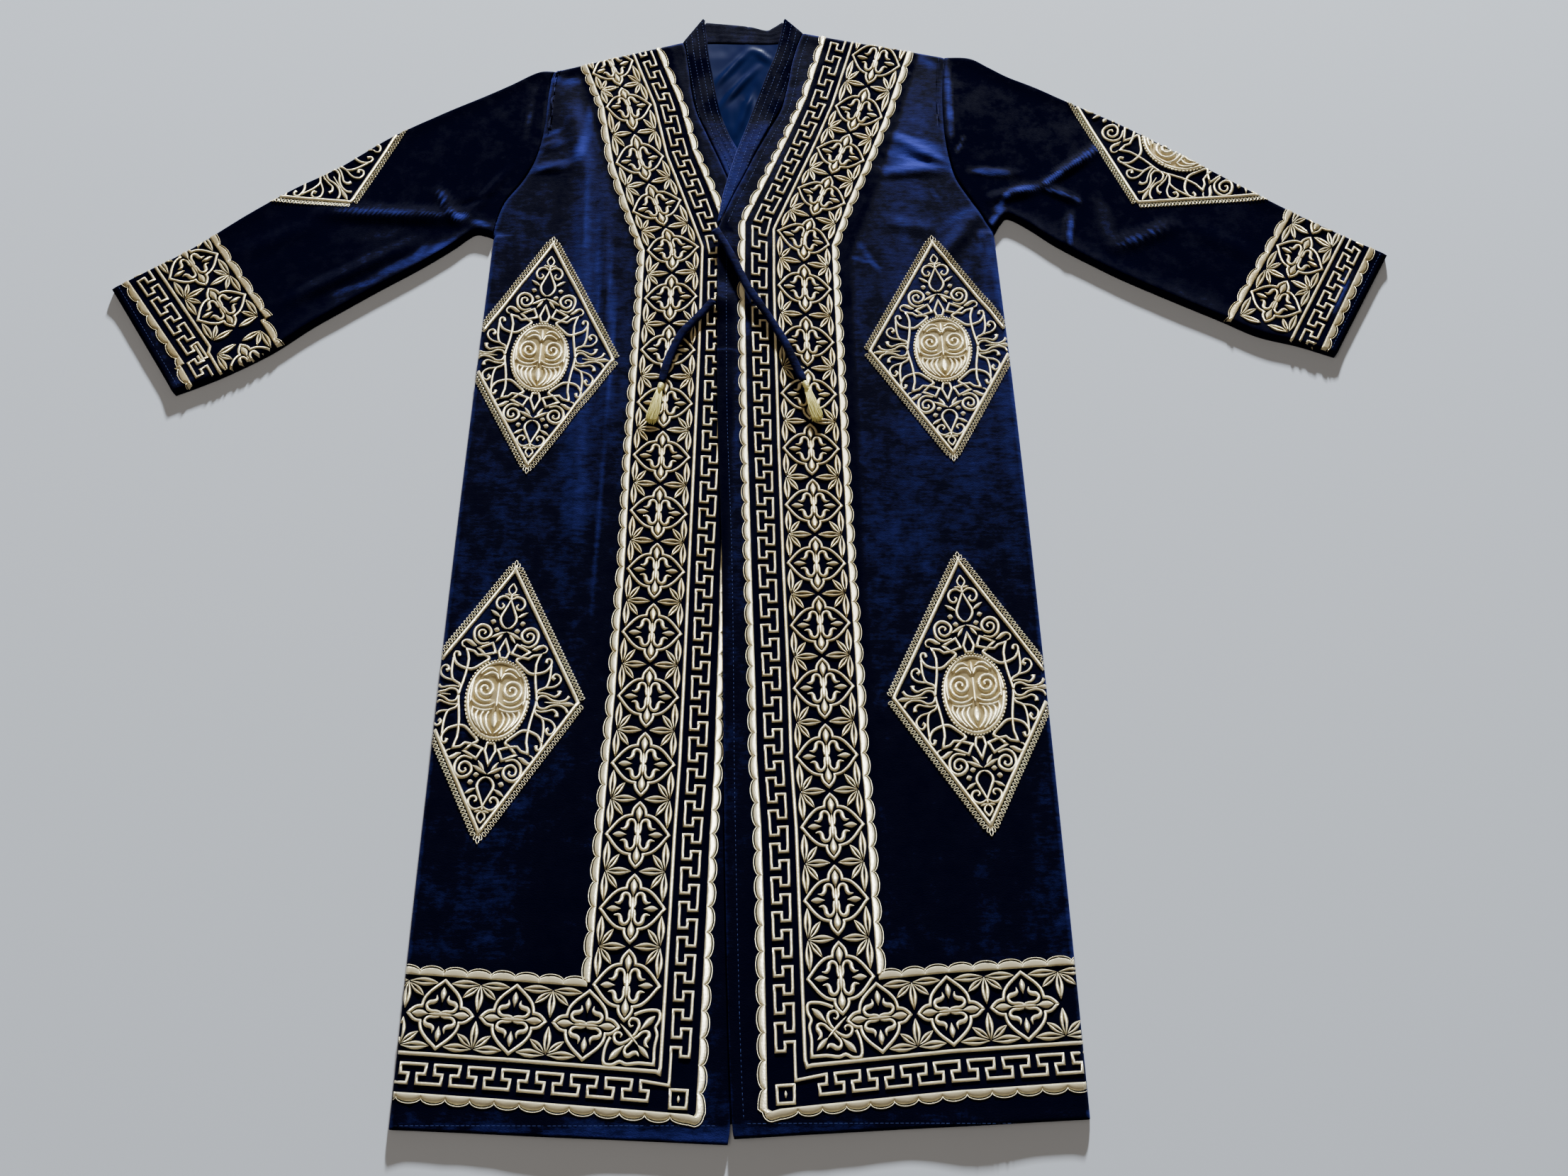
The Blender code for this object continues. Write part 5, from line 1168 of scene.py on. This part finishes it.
# Every curve is given in centimetres from the oval's middle, for the upper right quarter. The
# lower half is the same, a little shorter towards its point.
Curve = namedtuple("Curve", "points halves")
Place = namedtuple("Place", "x y up_x up_y side_x side_y top bottom")
CURVES = [
    Curve([(1.78, 4.47), (1.33, 4.08), (2.1, 3.35), (2.7, 2.9), (3.3, 2.85), (4.15, 3.15), (4.55, 3.6),
           (4.72, 4.1), (4.6, 4.5), (4.3, 4.48), (4.2, 4.12)], [0.15, 0.16, 0.16, 0.15, 0.13, 0.12, 0.19]),
    Curve([(4.72, 3.9), (4.74, 3.0), (4.68, 2.2), (4.45, 1.55), (3.85, 1.2), (3.62, 0.8)], [0.12, 0.14]),
    Curve([(4.45, 1.5), (5.3, 1.72), (5.77, 2.25), (5.66, 2.8), (5.24, 3.0), (5.0, 2.65), (5.22, 2.45)],
          [0.1, 0.12, 0.12, 0.11, 0.14, 0.2]),
    Curve([(6.78, 0.82), (6.5, 0.42), (5.87, 0.18), (5.13, 0.3), (4.54, 0.62), (3.97, 0.52), (3.72, 0.0)],
          [0.16, 0.12, 0.12, 0.12, 0.12]),
    Curve([(5.8, 1.3), (5.76, 0.92), (5.38, 0.66), (4.9, 0.8), (4.3, 0.92), (3.8, 0.86)],
          [0.24, 0.14, 0.1, 0.1, 0.09]),
    Curve([(1.55, 5.8), (2.35, 5.62), (2.95, 6.05), (3.12, 6.75), (2.95, 7.32), (2.45, 7.66), (1.85, 7.48),
           (1.5, 6.95), (1.65, 6.4), (2.15, 6.14), (2.6, 6.4), (2.65, 6.9), (2.3, 7.12), (2.02, 6.9),
           (2.14, 6.68)], [0.09, 0.15, 0.17, 0.17, 0.15, 0.13, 0.12, 0.1]),
    Curve([(3.75, 5.1), (4.05, 5.25), (4.12, 5.6), (3.8, 5.87), (3.4, 5.75), (3.05, 5.5), (2.7, 5.35)],
          [0.07, 0.09, 0.1, 0.14, 0.22, 0.2, 0.05]),
    Curve([(0.0, 10.6), (0.28, 9.85), (0.55, 9.2), (0.76, 8.6), (0.68, 8.05), (0.35, 7.6), (0.03, 7.46)],
          [0.1, 0.13, 0.15, 0.15, 0.13, 0.07]),
    Curve([(0.0, 10.6), (0.6, 10.96), (1.15, 10.76), (1.4, 10.2), (1.2, 9.7), (0.82, 9.6), (0.62, 9.93),
           (0.82, 10.16)], [0.08, 0.13, 0.15, 0.14, 0.13, 0.12, 0.11, 0.09]),
    Curve([(0.0, 11.15), (0.29, 11.45), (0.36, 11.8), (0.2, 12.12), (0.0, 12.42)], [0.1]),
]
OVAL_CURVES = [   # the long leaves under the volutes, the short ones over them, one beside them
    Curve([(0.62, -1.3), (0.86, -1.95), (0.68, -2.75), (0.1, -3.4)], [0.12, 0.22, 0.22, 0.1]),
    Curve([(1.1, -1.3), (1.36, -1.95), (1.16, -2.7), (0.52, -3.44)], [0.12, 0.23, 0.22, 0.1]),
    Curve([(1.62, -1.22), (1.84, -1.8), (1.64, -2.48), (1.0, -3.22)], [0.12, 0.23, 0.22, 0.1]),
    Curve([(2.14, -0.98), (2.26, -1.5), (2.08, -2.05), (1.57, -2.75)], [0.1, 0.2, 0.2, 0.1]),
    Curve([(0.1, 1.95), (0.42, 2.48), (0.95, 2.56), (1.6, 2.22)], [0.12, 0.21, 0.21, 0.08]),
    Curve([(0.36, 2.8), (0.82, 3.06), (1.34, 2.92), (1.9, 2.38)], [0.1, 0.2, 0.2, 0.08]),
    Curve([(2.42, 1.75), (2.55, 0.95), (2.58, 0.2), (2.5, -0.55)], [0.08, 0.18, 0.18, 0.08]),
]
STRAIGHT = [   # the strap with its beak, the lozenge beside the little house, and the house
    ([(1.78, 4.47), (2.45, 4.38), (2.86, 4.76), (3.55, 4.92), (3.27, 3.9), (3.27, 3.2), (3.36, 2.25),
      (3.5, 1.4), (3.66, 0.6), (3.74, 0.0)], False),
    ([(2.45, 5.12), (1.2, 5.76), (0.77, 4.8), (1.78, 4.47)], True),
    ([(0.0, 6.22), (0.5, 4.95), (0.32, 4.25), (-0.32, 4.25), (-0.5, 4.95)], True),
]
LEAVES = [((0.02, 7.12), (1.5, 6.36), 0.21), ((0.3, 6.85), (0.97, 5.92), 0.18),
          ((0.84, 8.68), (1.84, 9.38), 0.19), ((0.0, 11.08), (0.72, 11.24), 0.15),
          ((1.16, 8.04), (1.72, 8.18), 0.27), ((0.72, 7.22), (1.28, 7.3), 0.26)]
SIDE, TOP, BOTTOM = (7.7, 0.24), (0.0, 14.0), (0.0, -12.4)
OVAL, VOLUTE = (2.95, 3.92), (1.25, 0.82)      # the oval's half sizes, and a volute's eye
VOLUTE_TALL = 1.12     # its height to its width
LOOP_STEP = 0.0038
SLIM = ((0.0, -0.05), (0.5, 1.0), (1.0, -0.05))
LOW = ((0.0, -0.05), *[(0.02 + 0.96 * k / 20, 1.0) for k in range(21)], (1.0, -0.05))


def widths(halves, count):
    """The half widths in metres for count points, evenly spread over the list."""
    made = []
    for k in range(count):
        at = k / max(1, count - 1) * (len(halves) - 1)
        i = min(int(at), max(0, len(halves) - 2))
        made.append(0.01 * (halves[i] + (halves[min(i + 1, len(halves) - 1)] - halves[i]) * (at - i)))
    return made


def lower(v):
    """The lower half's points are nearer to the middle."""
    return -(v if v < 7.0 else 7.0 + (v - 7.0) * 0.84)


def loop(work, middle, ahead, long, wide, half, rise):
    """A small closed loop of thread, from half its length ahead and half its width."""
    across = Vector((-ahead.y, ahead.x))
    ring = [middle + ahead * (long * math.cos(a)) + across * (wide * math.sin(a))
            for a in (j * math.pi / 4 for j in range(8))]
    stroke(work, ring, half, rise, True, SLIM)


def loops(work, start, end, outwards):
    """The row of small loops outside a rail, each a closed thread."""
    count = max(2, round((end - start).length / LOOP_STEP))
    step = (end - start) / count
    lean = (outwards + step.normalized() * 0.22).normalized()
    for k in range(count):
        loop(work, start + step * (k + 0.5) + outwards * 0.0051, lean, 0.0023, 0.0013, 0.00056, 0.001)


def medallion(where, place, ground):
    """One lozenge, set on the cloth by its place."""
    work = Work([], [], [], [], ground)
    middle, up, side = Vector(place[:2]), Vector(place[2:4]), Vector(place[4:6])

    def spot(u, v):
        return middle + side * (u * 0.01) + up * (v * 0.01 * (place.top if v > 0 else place.bottom))

    def curve(line, sign, halves, rise):
        """A strip to the right of the middle, or to its left where sign is -1."""
        stroke(work, [spot(u * sign, v) for u, v in line], widths(halves, len(line)), rise)

    corners = [spot(*TOP), spot(*SIDE), spot(*BOTTOM), spot(-SIDE[0], SIDE[1])]
    rail = [q for a, b in zip(corners, corners[1:] + corners[:1]) for q in with_steps([a, b], 0.004)[:-1]]
    stroke(work, rail, 0.002, 1.2 * RISE, True)
    rail_to = len(work.points)
    for a, b in zip(corners, corners[1:] + corners[:1]):
        outwards = Vector((b.y - a.y, a.x - b.x)).normalized()
        outwards *= 1 if (a + outwards * 0.01 - middle).length > (a - middle).length else -1
        loops(work, a, b, outwards)
    for tip, way in ((corners[0], up), (corners[2], -up)):
        for lean, long in ((0.0, 0.0085), (0.55, 0.006), (-0.55, 0.006)):
            ahead = (way.normalized() + side.normalized() * lean).normalized()
            loop(work, tip + ahead * (0.0012 + long / 2), ahead, -long / 2, 0.0016, 0.00058, 0.0009)
    loops_to = len(work.points)
    for sign in (1, -1):
        for points, halves in CURVES:
            line = smooth(points, 4)
            curve(line, sign, halves, RISE)
            curve([(u, lower(v)) for u, v in line], sign, halves, RISE)
        for points, halves in OVAL_CURVES:
            curve(smooth(points, 4), sign, halves, 1.25 * RISE)
        for line, closed in STRAIGHT:
            if line[0][0] == 0.0 and sign < 0:
                continue
            for turn in (lambda v: v, lower):
                bends = [Vector((u * sign, turn(v))) for u, v in line + (line[:1] if closed else [])]
                fine = with_steps(bends, 0.5)
                stroke(work, [spot(*q) for q in (fine[:-1] if closed else fine)], 0.0014, RISE, closed)
        for a, b, half in LEAVES:
            for turn in (lambda v: v, lower):
                leaf(work, spot(a[0] * sign, turn(a[1])), spot(b[0] * sign, turn(b[1])), half * 0.01)
        leaf(work, spot(5.85 * sign, 0.0), spot(7.35 * sign, 0.0), 0.0024, belly=1.3)
        stroke(work, [spot(u * sign, 0.0) for u in (4.5, 5.0, 5.5, 6.0)], [0.0004, 0.0008, 0.0009, 0.001])
        # Volute: not quite two turns from its eye, then two arcs under it.
        turn_line = []
        for k in range(29):
            angle = math.radians(200 - 24.4 * k)
            r = 0.15 + 0.97 * k / 28
            turn_line.append((VOLUTE[0] + r * math.cos(angle), VOLUTE[1] + VOLUTE_TALL * r * math.sin(angle)))
        curve(turn_line, sign, [0.15, 0.2, 0.21, 0.21, 0.16], 1.35 * RISE)
        for k in range(2):
            arc = []
            for j in range(19):
                angle = math.radians(-168 + 150 * j / 18)
                r = 1.52 + 0.44 * k
                u = VOLUTE[0] + r * math.cos(angle)
                v = VOLUTE[1] + (VOLUTE_TALL - 0.06 * k) * r * math.sin(angle)
                if u > 0.12 and (u / OVAL[0]) ** 2 + (v / OVAL[1]) ** 2 < 0.74:
                    arc.append((u, v))
            curve(arc, sign, [0.08, 0.2, 0.2, 0.08], 1.25 * RISE)
    for vs in ((10.5, 10.8, 11.2), (-9.9, -10.2, -10.5)):
        stroke(work, [spot(0.0, v) for v in vs], 0.0013)
    leaf(work, spot(0.0, -1.25), spot(0.0, -3.05), 0.0042, 1.5 * RISE)
    leaf(work, spot(0.0, 1.95), spot(0.0, 3.3), 0.0022, 1.5 * RISE)
    stroke(work, [spot(0.0, v) for v in (-1.2, -0.5, 0.2, 0.9, 1.6)],
           [0.0008, 0.0015, 0.0014, 0.0016, 0.001], 1.3 * RISE)
    # The oval's flat ground, its broad rim and the beads on it.
    across = [0.93 * OVAL[0] * math.cos(math.pi * k / 26) for k in range(1, 26)]
    tall = [0.93 * OVAL[1] * math.sin(math.pi * k / 26) for k in range(1, 26)]
    # The ground is painted darker, as painted shade between the strokes.
    sew(work, [spot(-u, v) for u, v in zip(across, tall)], [spot(-u, -v) for u, v in zip(across, tall)],
        0.25 * RISE, LOW, -0.3)
    ring = [(OVAL[0] * math.cos(a), OVAL[1] * math.sin(a)) for a in (j * math.tau / 64 for j in range(64))]
    stroke(work, [spot(0.955 * u, 0.965 * v) for u, v in ring], 0.0019, RISE, True)
    for (u, v), (s, t) in zip(ring, ring[1:] + ring[:1]):
        a, b = spot(u * 1.03, v * 1.03), spot(s * 1.03, t * 1.03)
        leaf(work, a.lerp(b, 0.08), a.lerp(b, 0.92), 0.0011, 1.35 * RISE)
    # Painted light: the rail, the loops and the rest are painted lighter, the loops most.
    shade = [0.15] * rail_to + [0.35] * (loops_to - rail_to) + [0.18 + painted_shading for painted_shading in work.tones[loops_to:]]
    return gold_piece("gold_medallion_" + where, work, "medallion_" + where, shade)


def upright(x, y, lean, top, bottom):
    """The place of a lozenge on a front. Its top leans towards the opening by lean degrees."""
    way = -1 if x > 0 else 1
    turn, slant = math.radians(lean), math.radians(lean + 1.6)
    return Place(x, y, way * math.sin(turn), math.cos(turn), math.cos(slant), -way * math.sin(slant),
                 top, bottom)


gold_medallions = [medallion(*row) for row in (
    ("upper_left", upright(-0.2133, 0.7483, 1.9, 1.0, 1.0), top_left),
    ("upper_right", upright(0.211, 0.759, 2.5, 0.935, 0.975), top_right),
    ("lower_left", upright(-0.2283, 0.3817, 3.3, 0.925, 1.015), top_left),
    ("lower_right", upright(0.2243, 0.3867, 3.8, 0.955, 1.0), top_right),
    ("sleeve_left", Place(-0.4882, 1.024, 0.852, 0.524, 0.655, -1.065, 1.04, 1.04), top_sleeve_left),
    ("sleeve_right", Place(0.489, 1.023, -0.846, 0.534, -0.667, -1.057, 1.04, 1.04), top_sleeve_right),
)]

# ---------------------------------------------------------------- cuffs
# The same border runs round each sleeve near its end, from fold to fold. On the left sleeve a
# second length of it starts short of the lower fold, a little out of line with the first.
Strip = namedtuple("Strip", "rows first last flowers sprays fret_start rim_out rim_out_step rim_in")
BOTH, ONWARD, BACK = (1, -1), (1,), (-1,)
CUFF_LEFT = [
    Strip([Tips(-0.5725, 0.8758, -0.62, 0.8437), Tips(-0.5345, 0.8247, -0.5812, 0.7925)], -1.25, 1.57, (0, 1),
          [(-0.5, BOTH), (0.5, BOTH), (1.5, BACK)], -0.925, -0.14, 0.39, 0.116),
    Strip([Tips(-0.5277, 0.8075, -0.5732, 0.7757), Tips(-0.4917, 0.7558, -0.5372, 0.724)], 0.38, 2.0, (1,),
          [(0.5, ONWARD), (1.5, BOTH)], 0.1375, 0.38, 0.42, 0.38),
]
CUFF_RIGHT = [
    Strip([Tips(0.6173, 0.9451, 0.6573, 0.9083), Tips(0.5813, 0.8867, 0.6263, 0.8558),
           Tips(0.5453, 0.8283, 0.5953, 0.8033)], -0.8, 3.1, (0, 1, 2),
          [(-0.5, BOTH), (0.5, BOTH), (1.5, BOTH), (2.5, BACK)], -0.455, 0.87, 0.345, 1.0),
]


def cuff(where, strips, ground):
    """The border round one sleeve."""
    work = Work([], [], [], [], ground)
    line = []
    for strip in strips:
        spot = between_tips(strip.rows)
        for n in strip.flowers:
            flower(work, lambda u, v: spot(n, u, v))
        for q, ways in strip.sprays:
            spray(work, lambda u, v: spot(q, u, v), ways=ways)
        qs = [strip.first + (strip.last - strip.first) * s for s in even(110)]
        line += [spot(q, 0.0, GOLD_LINE) for q in qs]
        stroke(work, with_steps(fret(spot, strip.fret_start, strip.last), 0.004), FRET_HALF)
        for foot, out, start, step in ((RIM_OUT, 1, strip.rim_out, strip.rim_out_step),
                                       (RIM_IN, -1, strip.rim_in, 1 / 3)):
            edge = [strip.first - 0.05 + (strip.last - strip.first + 0.1) * s for s in even(190)]
            base = [spot(q, 0.0, foot) for q in edge]
            rim(work, base, [(p - spot(q, 0.0, foot - out)).normalized() for p, q in zip(base, edge)],
                [(q - start) / step for q in edge])
    stroke(work, line, LINE_HALF)
    return gold_piece("gold_cuff_" + where, work, "cuff_border_" + where)


gold_cuffs = [cuff("left", CUFF_LEFT, top_sleeve_left), cuff("right", CUFF_RIGHT, top_sleeve_right)]

# ---------------------------------------------------------------- rows of stitches
# Machine stitches in blue thread: rows along the neck band, one line near every hem and along
# the edge of the right front, and one beside the band's seam.
STITCH, STITCH_GAP, THREAD_HALF = 0.003, 0.0013, 0.00022
thread, _, _ = plain("blue_thread", (0.018, 0.03, 0.11), 0.8, Specular_IOR_Level=0.15)


def stitches(name, lines, ground):
    """Short stitches along lines of the plan, lying on the cloth."""
    work = Work([], [], [], [], ground)
    for line in lines:
        count = int(length_of(line) / (STITCH + STITCH_GAP))
        shares = [(k + s) / count for k in range(count) for s in (0.15, 0.85)]
        ends = along(line, shares)
        for a, b in zip(ends[::2], ends[1::2]):
            stroke(work, [a, b], THREAD_HALF, THREAD_HALF, profile=SLIM)
    return piece(name, work.points, work.faces, thread, (), work.uvs)


def inside(line, distance):
    """The line moved to its left, or to its right where distance is less than 0."""
    moved = []
    for i, p in enumerate(line):
        ahead = (line[min(i + 1, len(line) - 1)] - line[max(i - 1, 0)]).normalized()
        moved.append(p + Vector((-ahead.y, ahead.x)) * distance)
    return moved


free_left, free_right = smooth([s[2:] for s in BAND_LEFT]), smooth([s[2:] for s in BAND_RIGHT])
ROWS_OF_BAND = (0.0028, 0.01, 0.0172, 0.0244)
FROM_CUFF = 0.007
sewn = [
    stitches("stitches_band_left", [inside(free_left, -d) for d in ROWS_OF_BAND], top_band_left),
    stitches("stitches_band_right", [inside(free_right, d) for d in ROWS_OF_BAND], top_band_right),
    stitches("stitches_front_left", [[Vector((x, 0.013)) for x in (-0.286, -0.2, -0.1, -0.014)]], top_left),
    stitches("stitches_front_right",
             [[Vector((x, 0.015)) for x in (0.296, 0.2, 0.1, 0.012)],
              [p + Vector((0.01, 0.0)) for p in along(smooth(EDGE_RIGHT), even(60))[1:-1]],
              inside(smooth([s[:2] for s in BAND_RIGHT]), 0.008)], top_right),
]
for side, ground, sections in (("left", top_sleeve_left, SLEEVE_LEFT),
                               ("right", top_sleeve_right, SLEEVE_RIGHT)):
    top_end, low_end = Vector(sections[-1][:2]), Vector(sections[-1][2:])
    shift = (Vector(sections[-2][:2]) - top_end).normalized() * FROM_CUFF
    sewn.append(stitches("stitches_cuff_" + side, [[top_end + shift, low_end + shift]], ground))

# ---------------------------------------------------------------- cloth, as cut and as it lies
# Each piece of cloth with its flat width and length, its area in square metres, the cloth that it
# rests on and the work that is sewn to it. The table is only listed; nothing is made from it.
for cloth, flat, area, below, on_it in (
        (back, (0.61, 1.17), 0.615, [], []),
        (cloth_left, (0.3, 1.18), 0.317, [back],
         [gold_left, gold_medallions[0], gold_medallions[2], sewn[2]]),
        (cloth_right, (0.32, 1.18), 0.337, [back, cloth_left],
         [gold_right, gold_medallions[1], gold_medallions[3], sewn[3]]),
        (cloth_sleeve_left, (0.46, 0.48), 0.167, [], [gold_cuffs[0], gold_medallions[4], sewn[4]]),
        (cloth_sleeve_right, (0.48, 0.5), 0.181, [], [gold_cuffs[1], gold_medallions[5], sewn[5]]),
        (band_left, (0.045, 0.23), 0.0074, [back, cloth_left], [sewn[0]]),
        (band_right, (0.04, 0.25), 0.0068, [back, band_left], [sewn[1]]),
        (band_back, (0.035, 0.12), 0.0033, [back], []),
        (lining, (0.1, 0.17), 0.0113, [back], [])):
    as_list(below)
    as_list(on_it)
